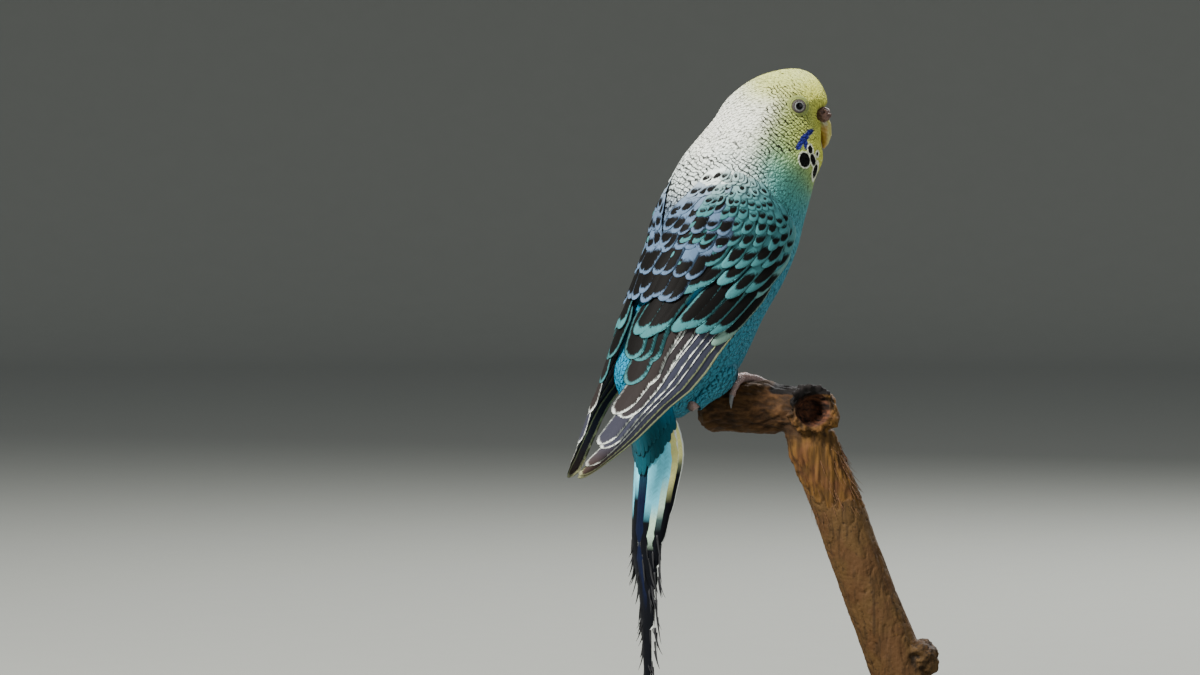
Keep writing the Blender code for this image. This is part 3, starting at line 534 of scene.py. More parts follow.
def tube_faces(rows, columns, first=0):
    """Quads of a closed tube: rows of points round it, one row after another."""
    row, column = np.meshgrid(np.arange(rows - 1), np.arange(columns), indexing="ij")
    here = first + row * columns + column
    beside = first + row * columns + (column + 1) % columns
    return np.stack((here, beside, beside + columns, here + columns), -1).reshape(-1, 4)


def capped_tube(rings):
    """Points, quads and triangles of a tube closed by a point at the middle of each end ring."""
    rows, columns = rings.shape[:2]
    points = np.concatenate((rings.reshape(-1, 3), rings[:1].mean(1), rings[-1:].mean(1)))
    around = np.arange(columns)
    beside = (around + 1) % columns
    start = np.stack((np.full(columns, rows * columns), beside, around), -1)
    last = (rows - 1) * columns
    end = np.stack((np.full(columns, rows * columns + 1), last + around, last + beside), -1)
    return points, tube_faces(rows, columns), np.concatenate((start, end))


def join_parts(parts):
    """Put several closed shapes after one another in one set of arrays."""
    points = []
    quads = []
    triangles = []
    count = 0
    for part_points, part_quads, part_triangles in parts:
        points.append(part_points)
        quads.append(part_quads + count)
        triangles.append(part_triangles + count)
        count += len(part_points)
    return np.concatenate(points), np.concatenate(quads), np.concatenate(triangles)


def path_frames(path):
    """Two level directions across a path at each point: cross products of its tangent
    with one fixed direction, so the frame doesn't twist."""
    tangent = unit(np.gradient(path, axis=0))
    main = unit(path[-1] - path[0])
    aside = np.eye(3)[np.argmin(np.abs(main))]
    first = unit(np.cross(tangent, aside))
    return first, np.cross(tangent, first)


def tube_along(path, radii, columns=12):
    """A round tube carried along a path, with a radius at each point."""
    first, second = path_frames(path)
    angle = np.arange(columns) / columns * 2 * math.pi
    radii = np.asarray(radii, float).reshape(len(path), -1)
    return (
        path[:, None]
        + first[:, None] * (np.cos(angle) * radii)[..., None]
        + second[:, None] * (np.sin(angle) * radii)[..., None]
    )


# How a vane's rings are laid: shares of the half width from the left edge to the right one.
FINE_ACROSS = np.linspace(-1, 1, 7)
PLAIN_ACROSS = np.array((-1.0, 0.0, 1.0))


def ring_lanes(across):
    """Walk round a vane's lens-shaped section: over the top from the left edge to the right
    one, and back under it; gives each lane's place across and its face's sign."""
    return (
        np.concatenate((across, across[-2:0:-1])),
        np.concatenate((1 - across ** 2, across[-2:0:-1] ** 2 - 1)),
    )


def vane_arrays(rings, roots, tips):
    """Index arrays of many closed vanes: each has rings of points between a root point and
    a tip point. Rings come as (vanes, rings, lanes, 3)."""
    count, rows, lanes = rings.shape[:3]
    size = rows * lanes + 2
    points = np.concatenate((rings.reshape(count, -1, 3), roots[:, None], tips[:, None]), 1)
    first = (np.arange(count) * size)[:, None, None]
    quads = tube_faces(rows, lanes)[None] + first
    lane = np.arange(lanes)
    beside = (lane + 1) % lanes
    start = np.stack((np.full(lanes, rows * lanes), beside, lane), -1)
    last = (rows - 1) * lanes
    end = np.stack((np.full(lanes, rows * lanes + 1), last + lane, last + beside), -1)
    triangles = np.concatenate((start, end))[None] + first
    return points, quads.reshape(-1, 4), triangles.reshape(-1, 3)


def vane_uv(along, lanes, count):
    """Each point's own place on its vane: across from 0 to 1 and along from 0 to 1."""
    across = np.broadcast_to((lanes * 0.5 + 0.5)[None, None], (count, along.shape[-1] - 2, len(lanes)))
    length = np.broadcast_to(along[..., 1:-1, None], across.shape)
    inner = np.stack((across, length), -1).reshape(count, -1, 2)
    ends = np.broadcast_to(np.array(((0.5, 0.0), (0.5, 1.0))), (count, 2, 2))
    return np.concatenate((inner, ends), 1)


def vane_outline(along, length, half, point=1.0, root_share=0.5):
    """Share of the half width: it widens from the root over the first third, and ends in
    an ellipse whose long radius is the half width times the point factor."""
    widen = root_share + (1 - root_share) * smooth_step(along, 0.0, 0.35)
    left = np.clip((1 - along) * length / (half * point), 0.0, 1.0)
    return widen * np.sqrt(1 - (1 - left) ** 2)


def colour_of(group, name):
    """A colour setting as an array."""
    return np.array(getattr(group, name))


class BudgerigarPlumage(bpy.types.PropertyGroup):
    """Colours of the plumage, area by area."""

    crown: colour_property("Crown", "Pale yellow of the crown", 202, 208, 122)
    forehead: colour_property("Forehead", "Yellow over the cere", 200, 202, 92)
    # The cheek's olive yellow is partly its own colour and partly darkened as painted shade.
    cheek: colour_property("Cheek", "Olive yellow under the eye", 152, 163, 88)
    throat: colour_property("Throat", "Yellow of the mask below the beak", 214, 214, 92)
    nape: colour_property("Nape", "Nearly white back of the head", 250, 252, 240)
    hind_neck: colour_property("Hind neck", "White green lower nape", 226, 238, 234)
    mantle: colour_property("Mantle", "Lilac white edges of the mantle feathers", 90, 114, 142)
    neck_edge: colour_property("Neck edge", "Green between mask and neck", 102, 150, 98)
    # The neck side's teal is partly its own colour and partly darkened as painted shade.
    neck_side: colour_property("Neck side", "Teal of the neck side", 78, 150, 152)
    breast: colour_property("Breast", "Teal blue breast", 80, 150, 162)
    belly: colour_property("Belly", "Darker teal blue belly", 60, 130, 150)
    rump: colour_property("Rump", "Bright blue rump", 28, 138, 176)
    dark: colour_property("Bars", "Black brown of bars and feather centres", 14, 13, 12)
    spot: colour_property("Throat spots", "Black of the throat spots", 8, 8, 10)
    patch: colour_property("Cheek patch", "Violet blue cheek patch", 34, 38, 112)
    pale_edge: colour_property("Pale edge", "Pale teal edge of the wing coverts", 64, 120, 124)
    white_edge: colour_property("White edge", "White rim of the flight feathers", 214, 220, 214)
    yellow_edge: colour_property("Yellow edge", "Pale yellow leading edge", 186, 194, 148)
    primary: colour_property("Primaries", "Slate grey of the long flight feathers", 54, 56, 70)
    secondary: colour_property("Secondaries", "Grey brown of the inner flight feathers", 44, 39, 38)
    wing_tip: colour_property("Wing tip", "Brown gold tips of the long flight feathers", 68, 52, 40)
    # Tail teal is partly the tail's own dark teal and partly painted shade of the wing over the tail's root; tail
    # cyan is partly the tail's own blue and partly a painted sunlit patch.
    tail_shaded_teal: colour_property("Tail teal", "Dark teal of the tail's root", 20, 74, 86)
    tail_sunlit_cyan: colour_property("Tail cyan", "Bright cyan patch of the tail", 118, 218, 244)
    tail_yellow: colour_property("Tail yellow", "Yellow band of the tail", 216, 214, 140)
    tail_navy: colour_property("Tail navy", "Navy of the tail's middle", 14, 22, 48)
    tail_black: colour_property("Tail black", "Black of the tail's end", 10, 12, 18)


# Where each plumage area lies: forward and side distance from the body's middle, and height.
PLUMAGE_PLACES = (
    ("crown", (2, 0, 207)), ("crown", (-4, 5, 203)), ("forehead", (13, 0, 202)), ("forehead", (13, 5, 198)),
    ("cheek", (10, 12, 191)), ("cheek", (3, 14, 190)), ("throat", (19, 0, 184)), ("throat", (16, 9, 184)),
    ("throat", (20, 4, 178)), ("cheek", (10, 13, 186)), ("nape", (-12, 3, 195)), ("nape", (-15, 4, 188)),
    ("nape", (-8, 12, 191)), ("nape", (-4, 14, 186)), ("nape", (-18, 8, 184)), ("hind_neck", (-20, 4, 178)),
    ("hind_neck", (-12, 12, 180)), ("hind_neck", (-20, 6, 172)), ("hind_neck", (-7, 15, 177)),
    ("neck_edge", (3, 15, 184)), ("neck_edge", (11, 13, 179)), ("neck_edge", (17, 9, 175)),
    ("neck_side", (3, 15, 179)), ("neck_side", (9, 14, 174)), ("neck_side", (15, 11, 170)),
    ("neck_side", (-6, 15, 169)),
    ("breast", (23, 4, 166)), ("breast", (16, 12, 160)), ("breast", (24, 0, 150)), ("belly", (18, 10, 142)),
    ("belly", (20, 0, 134)), ("belly", (10, 14, 130)), ("belly", (16, 5, 118)), ("belly", (0, 16, 150)),
    ("rump", (-22, 0, 152)), ("rump", (-22, 0, 135)), ("rump", (-18, 6, 120)), ("rump", (-14, 4, 108)),
    ("mantle", (-24, 0, 163)), ("mantle", (-20, 8, 166)), ("belly", (2, 12, 115)),
)
PLUMAGE_REACH = 4.6

# Dark patches of the face in the head's frame: forward, up, half sizes and lean in degrees.
CHEEK_PATCHES = ((11.2, -4.9, 1.6, 0.95, 28.0), (9.5, -6.6, 2.2, 1.15, 45.0), (7.9, -8.6, 1.9, 0.95, 62.0),
                 (9.9, -8.4, 0.8, 1.7, 0.0))
THROAT_SPOTS = ((9.5, -13.4, 1.75, 2.3, 15.0), (11.4, -10.2, 0.75, 1.25, 10.0), (12.4, -13.4, 0.8, 1.9, 18.0),
                (13.5, -16.9, 0.75, 2.2, -8.0), (13.9, -11.6, 0.35, 0.6, 0.0))


def patch_share(points, patches, edge):
    """1 inside any of the face's oval patches and 0 outside, with a soft edge."""
    forward, _, up = in_head(points)
    share = np.zeros(forward.shape)
    for middle_forward, middle_up, long, tall, lean in patches:
        turn = math.radians(lean)
        x = forward - middle_forward
        z = up - middle_up
        oval = np.sqrt(((x * math.cos(turn) + z * math.sin(turn)) / long) ** 2
                       + ((z * math.cos(turn) - x * math.sin(turn)) / tall) ** 2)
        share = np.maximum(share, 1 - smooth_step(oval, 1.0 - edge, 1.0 + edge))
    return share


def plumage_colour(points, colours):
    """The coat's and skin's colour at points: a mean of the area colours, weighted by the
    squared distance to each area's place, and then the patches of the face over it."""
    forward, left, _, _ = body_local(points)
    here = np.stack((forward, np.abs(left), points[..., 2]), -1)
    total = np.zeros(here.shape[:-1])
    mean = np.zeros(here.shape)
    for name, place in PLUMAGE_PLACES:
        square = ((here - np.array(place)) ** 2).sum(-1)
        weight = np.exp(-square / (2 * PLUMAGE_REACH ** 2)) + 1e-9 / (1 + square)
        total += weight
        mean += weight[..., None] * colour_of(colours, name)
    return mean / total[..., None]


def mark_face(points, base, colours):
    """Lay the violet cheek patches and the black throat spots over a colour."""
    patch = patch_share(points, CHEEK_PATCHES, 0.12)[..., None]
    spot = patch_share(points, THROAT_SPOTS, 0.10)[..., None]
    base = base * (1 - patch) + colour_of(colours, "patch") * patch
    return base * (1 - spot) + colour_of(colours, "spot") * spot


def bar_share(points):
    """Strength of the dark bars: full on the nape and the back of the head, fading over the
    cheek, the forehead and down the neck."""
    forward, left, up = in_head(points)
    cheek = 1 - smooth_step(np.hypot((forward - 3.6) / 8.6, (up + 3.0) / 9.5), 0.78, 1.05)
    fringe = 0.9 * np.exp(-((forward + 2.5 - 0.35 * (up + 8.0)) / 3.4) ** 2) * smooth_step(-up, -9.0, 2.0)
    fringe = fringe * (1 - smooth_step(-up, 18.0, 23.0))
    low = 1.1 * smooth_step(-up, 9.0, 17.0) * (1 - smooth_step(forward, -6.0, 0.0))
    crown = 0.85 * np.exp(-((up - 7.5) / 2.8) ** 2) * (1 - smooth_step(np.abs(forward - 3.0), 3.5, 7.5))
    faint = 0.35 * (1 - smooth_step(forward, -8.0, 2.0)) * smooth_step(-up, -6.0, 8.0)
    share = np.maximum.reduce((cheek, fringe, low, crown, faint)) * smooth_step(points[..., 2], 163.0, 168.0)
    share = share * (1 - smooth_step(forward, 10.5, 12.5))
    return share * (1 - patch_share(points, THROAT_SPOTS + CHEEK_PATCHES, 0.3))


def leg_radius(share):
    """Radius of the feathered leg: read off its table, times the square root of the share
    over 0.3 at the top, which rounds it off."""
    return np.interp(share, LEG_PLACES, LEG_RADII) * np.sqrt(np.clip(share / 0.3, 0, 1))


def draw_in(points):
    """Draw the sides of the face in towards the middle round the cere: the left place in the
    head's frame shrinks by a share that rises forwards and is a bell round the cere's height."""
    forward, left, up = in_head(points)
    share = 0.55 * smooth_step(forward, 10.5, 15.0) * np.exp(-((up - CERE_UP) / 3.2) ** 2)
    turn = math.radians(HEAD_TURN)
    return points - (left * share)[..., None] * np.array((-math.sin(turn), math.cos(turn), 0.0))


def wing_cover(points):
    """True where a point of the body lies under a folded wing."""
    cx, _, _, back, outer = (smooth_at(points[..., 2], WING_SECTIONS, k) for k in range(1, 6))
    angle = np.degrees(np.arctan2(np.abs(points[..., 1]), points[..., 0] - cx))
    inside = (angle > outer + 7) & (angle < back - 5 - 10 * smooth_step(points[..., 2], 150.0, 160.0))
    return inside & (points[..., 2] < WING_TOP - 3.0)


class BudgerigarCoat(bpy.types.PropertyGroup):
    """Sizes of the coat of small feathers, in millimetres."""

    face_step: size_property("Face rows", "Distance between the rows of feathers round the beak", 0.52)
    head_step: size_property("Head rows", "Distance between the rows on the crown and nape", 0.74)
    body_step: size_property("Body rows", "Distance between the rows on the breast and back", 1.0)
    cover: bpy.props.FloatProperty(
        name="Cover", description="Length of a feather, in row distances", default=4.5, min=1.0)
    broad: bpy.props.FloatProperty(
        name="Breadth", description="Half width of a feather, in row distances", default=0.90, min=0.1)
    face_depth: size_property("Face depth", "How deep the coat's roots lie at the beak", 0.55)
    body_depth: size_property("Body depth", "How deep the coat's roots lie on the body", 1.05)
    seed: bpy.props.IntProperty(name="Seed", description="Seed of the coat's irregularity", default=7)


def row_step(reach, sizes):
    """Distance between rows of feathers at a distance from the beak."""
    head = sizes.face_step + (sizes.head_step - sizes.face_step) * smooth_step(reach, 6.0, 17.0)
    return head + (sizes.body_step - sizes.head_step) * smooth_step(reach, 24.0, 48.0)


def coat_depth(reach, sizes):
    """Depth of the coat's roots at a distance from the beak."""
    return sizes.face_depth + (sizes.body_depth - sizes.face_depth) * smooth_step(reach, 6.0, 35.0)


RING_LEAN = 12.0


def coat_roots(sizes, chance):
    """Roots of the small feathers: rings on the body at equal distances from the beak, each
    walked at even steps, every second ring half a step on, with a little irregularity."""
    heights = BODY_TOP - (BODY_TOP - BODY_BOTTOM - 1.0) * np.linspace(0.01, 1, 900) ** 1.15
    angles = np.linspace(0, 2 * math.pi, 900, endpoint=False)
    cloud = body_point(heights[:, None], angles[None]).reshape(-1, 3)
    beak = head_point(*BEAK_ROOT)
    ahead = head_direction(1.0, 0.0, 0.0)
    distance = np.linalg.norm(cloud - beak, axis=-1)
    order = np.argsort(distance)
    cloud = cloud[order]
    distance = distance[order]
    bins = 240
    roots = []
    row = 0
    reach = 3.2
    while reach < distance[-1] - 1.5:
        low, high = np.searchsorted(distance, (reach - 0.45, reach + 0.45))
        ring = cloud[low:high]
        axis = unit(ring.mean(0) - beak - RING_LEAN * ahead)
        first = unit(np.cross(axis, (0.0, 1.0, 0.0)))
        second = np.cross(axis, first)
        offset = ring - ring.mean(0)
        turn = np.arctan2(offset @ second, offset @ first)
        place = ((turn + math.pi) / (2 * math.pi) * bins).astype(int) % bins
        count = np.bincount(place, minlength=bins)
        filled = count > 0
        line = np.stack([np.bincount(place, ring[:, k], bins)[filled] / count[filled] for k in range(3)], -1)
        line = np.concatenate((line, line[:1]))
        gaps = np.linalg.norm(np.diff(line, axis=0), axis=-1)
        walked = np.concatenate(((0.0,), np.cumsum(gaps)))
        step = row_step(reach, sizes)
        number = max(4, int(walked[-1] / step))
        at = (np.arange(number) + 0.5 * (row % 2) + 0.16 * chance.standard_normal(number)) / number * walked[-1]
        at = at % walked[-1]
        roots.append(np.stack([np.interp(at, walked, line[:, k]) for k in range(3)], -1))
        reach += step
        row += 1
    return settle(np.concatenate(roots))[0]


def bare_place(points):
    """True where no feather grows: at the eyes, the cere and the beak's root."""
    bare = np.zeros(points.shape[:-1], bool)
    for side in (-1, 1):
        offset = points - eye_centre(side)
        axis = eye_axis(side)
        along = (offset * axis).sum(-1)
        ring = np.linalg.norm(offset - along[..., None] * axis, axis=-1)
        bare |= (ring < 1.8) & (along > 0)
    forward, left, up = in_head(points)
    cere = ((forward - CERE_FORWARD) / 2.9) ** 2 + (left / 8.0) ** 2 + ((up - CERE_UP) / 2.5) ** 2
    beak = ((forward - 15.0) / 3.2) ** 2 + (left / 2.5) ** 2 + ((up + 4.0) / 5.0) ** 2
    return bare | (cere < 1) | (beak < 1)


COAT_STATIONS = np.array((0.0, 0.12, 0.42, 0.72, 0.92, 1.0))


def feather_rings(line, aside, out, half, thick, share, camber):
    """Rings of lens-shaped sections on centre lines: across each section the top bulges by
    the camber and by half the thickness times 1 - v^2, and the underside is the same lower."""
    lanes, faces = ring_lanes(PLAIN_ACROSS)
    wide = (half[:, None] * share)[:, 1:-1, None, None]
    rise = camber * (1 - lanes ** 2) * wide[..., 0] + faces * (thick[:, None] * share)[:, 1:-1, None] * 0.5
    return (
        line[:, 1:-1, None]
        + aside[:, 1:-1, None] * lanes[:, None] * wide
        + out[:, 1:-1, None] * rise[..., None]
    )


def unwrap_place(points):
    """Place on the body's own unwrap: the angle round the body and the height."""
    forward, left, _, _ = body_local(points)
    around = np.arctan2(left, forward) / (2 * math.pi) + 0.5
    up = (points[..., 2] - BODY_BOTTOM) / (BODY_TOP - BODY_BOTTOM)
    return np.stack((around, np.clip(up, 0.0, 1.0)), -1) * 0.99 + 0.005


PATCH = 0.003

# The dark bars of the head: their arcs' hub in the head's frame, and the bars up to a reach in
# millimetres, as its power times a rate.
BAR_HUB = (16.0, 0.0, 9.4)
BAR_POWER = 0.65
BAR_RATE = 4.05

# Length given to a dark middle that runs the whole way up its feather.
WHOLE = 99.0


def coat_arrays(roots, sizes, colours, chance, narrow=1.0, longer=1.0, loose=0.0):
    """All small feathers as arrays. Each lies along the direction away from the beak, kept
    on the body, and its centre line rises from the coat's depth to just over the surface.
    Loose barbs are the same, only narrower, longer and raised a little."""
    beak = head_point(*BEAK_ROOT)
    count = len(roots)
    reach = np.linalg.norm(roots - beak, axis=-1)
    step = row_step(reach, sizes)
    length = step * sizes.cover * longer * (1 + 0.10 * chance.standard_normal(count))
    half = step * sizes.broad * narrow * (1 + 0.08 * chance.standard_normal(count))
    sway = (0.06 + loose) * chance.standard_normal(count)
    lift = 0.025 * np.abs(chance.standard_normal(count))
    depth = coat_depth(reach, sizes)
    line = np.zeros((count, len(COAT_STATIONS), 3))
    out = np.zeros_like(line)
    here, normal = settle(roots)
    last = 0.0
    for k, station in enumerate(COAT_STATIONS):
        away = here - beak
        lie = unit(away - (away * normal).sum(-1, keepdims=True) * normal)
        lie = unit(lie + sway[:, None] * np.cross(normal, lie))
        here, normal = settle(here + lie * (length * (station - last))[:, None], 3)
        rise = -depth * (1 - station) ** 2.4 + (0.01 + lift + loose * 0.4) * station
        line[:, k] = here + normal * rise[:, None]
        out[:, k] = normal
        last = station
    direction = unit(np.gradient(line, axis=1))
    aside = unit(np.cross(direction, out))
    share = vane_outline(COAT_STATIONS[None], length[:, None], half[:, None], 1.15, 0.4)
    rings = feather_rings(line, aside, out, half, (0.03 + 0.015 * step) * narrow ** 0.3, share, 0.05)
    points, quads, triangles = vane_arrays(draw_in(rings), draw_in(line[:, 0]), draw_in(line[:, -1]))
    lanes, _ = ring_lanes(PLAIN_ACROSS)
    uv = vane_uv(np.broadcast_to(COAT_STATIONS, (count, len(COAT_STATIONS))), lanes, count)
    patches = unwrap_place(roots)[:, None] + (uv - 0.5) * PATCH
    tint = plumage_colour(points, colours)
    tint = tint * (1 + 0.045 * chance.standard_normal((count, 1, 1)))
    bars = bar_share(points)
    seed = np.broadcast_to(chance.random(count)[:, None], points.shape[:2])
    marks = np.stack((bars, np.zeros_like(bars), seed), -1)
    span = np.stack(np.broadcast_arrays(half[:, None], length[:, None], 0 * bars), -1)
    # Painted shade: each small feather is a little darker towards its two sides.
    tint = tint * (1 - 0.04 * np.abs(uv[..., :1] * 2 - 1))
    return points, quads, triangles, uv, patches, np.clip(tint, 0, 1), marks, span


def oval_edge(forward, up, patches):
    """How far outside the nearest of the face's oval patches a place is, in millimetres:
    the oval's own radius share less one, times its smaller half size."""
    nearest = None
    for middle_forward, middle_up, long, tall, lean in patches:
        turn = math.radians(lean)
        x = forward - middle_forward
        z = up - middle_up
        first = (x * math.cos(turn) + z * math.sin(turn)) * (1 / long)
        second = (z * math.cos(turn) - x * math.sin(turn)) * (1 / tall)
        outside = ((first * first + second * second).root() - 1) * min(long, tall)
        nearest = outside if nearest is None else nearest.least(outside)
    return nearest


def mark_finish(finish, colour, place, fray, colours):
    """Draw the violet cheek patches and the black throat spots in their white rims over a
    material's colour, at the same places as on the skin."""
    centre = tuple((HEAD_ORIGIN + PLACE) * MM)
    offset = finish.add("ShaderNodeVectorMath", {"operation": "SUBTRACT"}, {0: place, 1: centre})
    forward, _, up = finish.parts(finish.moved(offset, (1000.0,) * 3, (0.0, 0.0, -math.radians(HEAD_TURN))))
    patch = oval_edge(forward, up, CHEEK_PATCHES) + fray * 1.1
    colour = finish.mix(1 - patch.ramp(-0.12, 0.12), colour, tuple(colours.patch))
    spot = oval_edge(forward, up, THROAT_SPOTS) + fray * 0.45
    colour = finish.mix((1 - spot.ramp(0.25, 0.5)) * 0.8, colour, tuple(colours.nape))
    return finish.mix(1 - spot.ramp(-0.05, 0.10), colour, tuple(colours.spot))


def feather_finish(name, colours, barb=0.30, rough=0.72, ragged=0.7, uneven=0.18, marked=True):
    """Plumage: the vane's own dark middle, which ends in an oval and may run only a short way
    up, in a pale rim with its own widths beside and below it, dark wavy bars on arcs round
    the forehead where bars are strong, fine slanted barbs and a thin shaft."""
    finish = Finish(name)
    across, along, _ = finish.parts(finish.add("ShaderNodeUVMap", {"uv_map": "vane"}))
    bars, rim_width, seed = finish.parts(finish.attribute("marks", "Vector"))
    half, length, tip_width = finish.parts(finish.attribute("span", "Vector"))
    run, _, _ = finish.parts(finish.attribute("middle", "Vector"))
    place = finish.place()
    grain = finish.noise(place, 900.0, 2.0)
    side = abs(across * 2 - 1)
    barb_line = along * length - side * half * 0.9
    barbs = finish.noise(finish.add("ShaderNodeCombineXYZ", sockets={
        0: barb_line * 3.2, 1: seed * 61.0, 2: across * 1.4}), 1.0, 2.0)
    inner = (half - rim_width).most(0.05)
    before_tip = (1 - along) * length - tip_width
    cap = (1 - before_tip / (inner * 1.1)).most(0.0)
    oval = ((side * half / inner) ** 2 + cap ** 2).root() + (grain - 0.5) * (ragged * 0.4) + (barbs - 0.5) * ragged
    middle = (1 - oval.ramp(0.84, 1.12)) * (1 - (before_tip + (barbs - 0.5) * 2.4 - run).ramp(-0.7, 0.7))
    wave = (barb_line + grain * 0.35) * (2 * math.pi / barb) + seed * 40
    lines = wave.sine()
    tint = finish.attribute("tint")
    rim = finish.attribute("rim")
    hub = tuple((head_point(*BAR_HUB) + PLACE) * MM)
    reach = finish.add("ShaderNodeVectorMath", {"operation": "DISTANCE"}, {0: place, 1: hub}, "Value") * (1 / MM)
    bend = finish.noise(place, 330.0, 2.0)
    gaps = finish.noise(finish.moved(place, shift=(0.31, 0.17, 0.05)), 520.0, 2.0)
    turns = reach ** BAR_POWER * BAR_RATE + (bend - 0.5) * 2.2
    crest = (turns * (2 * math.pi)).sine() + (barbs - 0.5) * 0.5
    dash = gaps + bars * 0.34
    bar = crest.ramp(0.42, 0.85) * dash.ramp(0.60, 0.72) * bars.ramp(0.05, 0.45)
    rimmed = finish.mix(middle, rim, tint)
    barred = finish.mix(bar * 0.93, rimmed, tuple(colours.dark))
    if marked:
        barred = mark_finish(finish, barred, place, (grain - 0.5) * 0.6 + barbs - 0.5, colours)
    shaft = 1 - (side * half).ramp(0.03, 0.12)
    light = 1 + lines * 0.05 + (grain - 0.5) * 0.16 + (barbs - 0.5) * uneven - shaft * 0.08
    finish.set(Base_Color=finish.shade(barred, light), Roughness=rough)
    finish.surface.inputs["Specular IOR Level"].default_value = 0.06
    finish.surface.inputs["Sheen Weight"].default_value = 0.02
    finish.surface.inputs["Sheen Roughness"].default_value = 0.5
    finish.bump(lines * 0.5 + grain * 0.5, 0.00005, 0.4)
    return finish


class BUDGERIGAR_OT_skin(bpy.types.Operator):
    """Make the one skin under the coat, with the coat's colours"""

    bl_idname = "budgerigar.skin"
    bl_label = "Skin"

    def execute(self, context):
        colours = context.scene.budgerigar_plumage
        sizes = context.scene.budgerigar_coat
        heights = BODY_TOP - (BODY_TOP - BODY_BOTTOM) * np.linspace(0.004, 1, 120) ** 1.2
        angle = np.linspace(0, 2 * math.pi, 72, endpoint=False)
        surface = body_point(heights[:, None], angle[None])
        settled, normal = settle(surface)
        reach = np.linalg.norm(surface - head_point(*BEAK_ROOT), axis=-1)
        body = settled - normal * (coat_depth(reach, sizes) * 0.8)[..., None]
        parts = [capped_tube(body)]
        for side, _, ankle in FEET.values():
            ankle = np.array(ankle)
            upper = np.array((THIGH_TOP[0], ankle[1] + side * THIGH_TOP[1], THIGH_TOP[2]))
            share = np.linspace(0, 1, 12)
            path = upper + (ankle - upper) * share[:, None]
            radius = np.maximum(leg_radius(share) - 0.5, 0.2)
            parts.append(capped_tube(tube_along(path, radius, 20)))
        share = np.linspace(0, 1, 30)
        tail_radius = np.interp(share, (0.0, 1.0), (5.5, 3.0))
        path = np.array((-14.5, 0.0, 112.0)) + np.array((-2.0, 0.0, -42.0)) * share[:, None]
        parts.append(capped_tube(tube_along(path, tail_radius, 24)))
        for side in (-1, 1):
            parts.append(wing_pad(side))
        mesh = build_mesh("skin_parts", *join_parts(parts))
        source = bpy.data.objects.new("skin_parts", mesh)
        context.scene.collection.objects.link(source)
        remesh = source.modifiers.new("Join", "REMESH")
        remesh.mode = "VOXEL"
        remesh.voxel_size = 0.75 * MM
        smooth = source.modifiers.new("Smooth", "SMOOTH")
        smooth.iterations = 6
        smooth.factor = 0.5
        depsgraph = context.evaluated_depsgraph_get()
        joined = bpy.data.meshes.new_from_object(source.evaluated_get(depsgraph))
        joined.name = "skin"
        bpy.data.objects.remove(source)
        points = np.zeros(len(joined.vertices) * 3)
        joined.vertices.foreach_get("co", points)
        points = points.reshape(-1, 3) / MM - PLACE
        tint = mark_face(points, plumage_colour(points, colours), colours)
        joined.vertices.foreach_set("co", ((draw_in(points) + PLACE) * MM).ravel())
        joined.update()
        rgba = np.ones((len(points), 4))
        rgba[:, :3] = tint * 0.8
        joined.attributes.new("tint", "FLOAT_COLOR", "POINT").data.foreach_set("color", rgba.ravel())
        joined.polygons.foreach_set("use_smooth", np.ones(len(joined.polygons), bool))
        finish = Finish("skin_down")
        down = finish.noise(finish.place(), 1400.0, 4.0)
        finish.set(Base_Color=finish.shade(finish.attribute("tint"), 0.7 + down * 0.5), Roughness=0.85)
        finish.bump(down, 0.0002)
        add_piece("skin", joined, finish, "body_feathers", "head", "neck", "torso", "leg_right", "leg_left")
        return {"FINISHED"}


def wing_pad(side):
    """The fleshy arm under the wing feathers: a closed pillow between the body and the wing's
    own surface, thinning to its edges by the square root of a parabola."""
    heights = np.linspace(170.0, 134.0, 40)[:, None]
    across = np.linspace(0.06, 0.92, 24)[None]
    swell = np.sqrt(np.clip(4 * (across - 0.06) * (0.92 - across) / 0.86 ** 2, 0, 1))
    swell = swell * np.sqrt(np.clip((170.0 - heights) / 6.0, 0, 1)) * np.clip((heights - 134.0) / 14.0, 0, 1)
    outer = wing_point(heights, across, -0.3 + 1.5 * swell, side)
    inner = wing_point(heights, across, -2.6 + 0.0 * swell, side)
    inner[..., 0] = inner[..., 0] * 0.9 + outer[..., 0] * 0.1
    return capped_tube(np.concatenate((outer, inner[:, ::-1]), 1))


class BUDGERIGAR_OT_coat(bpy.types.Operator):
    """Lay the small feathers of the face, the nape and the body over the skin"""

    bl_idname = "budgerigar.coat"
    bl_label = "Small feathers"

    def execute(self, context):
        colours = context.scene.budgerigar_plumage
        sizes = context.scene.budgerigar_coat
        chance = np.random.default_rng(sizes.seed)
        roots = coat_roots(sizes, chance)
        roots = roots[~bare_place(roots) & ~wing_cover(roots) & (roots[:, 2] > BODY_BOTTOM + 1.0)]
        if len(roots) < 1000:
            raise RuntimeError("The coat came out too thin")
        finish = feather_finish("small_feathers", colours)
        reach = np.linalg.norm(roots - head_point(*BEAK_ROOT), axis=-1)
        zones = (
            ("coat_face", "face_feathers", reach < 19),
            ("coat_nape", "nape_feathers", (reach >= 19) & (reach < 40)),
            ("coat_body", "body_feathers", reach >= 40),
        )
        for name, slot, chosen in zones:
            here = roots[chosen]
            add_coat(name, slot, finish, colours, coat_arrays(here, sizes, colours, chance))
            shifted = here + chance.uniform(-0.5, 0.5, here.shape) * row_step(reach[chosen], sizes)[:, None]
            add_coat(name + "_barbs", slot, finish, colours,
                     coat_arrays(settle(shifted)[0], sizes, colours, chance, 0.10, 1.10, 0.10))
        for word, (side, _, ankle) in FEET.items():
            add_coat("coat_leg_" + word, "body_feathers", finish, colours,
                     leg_coat(side, np.array(ankle), sizes, colours, chance))
        return {"FINISHED"}


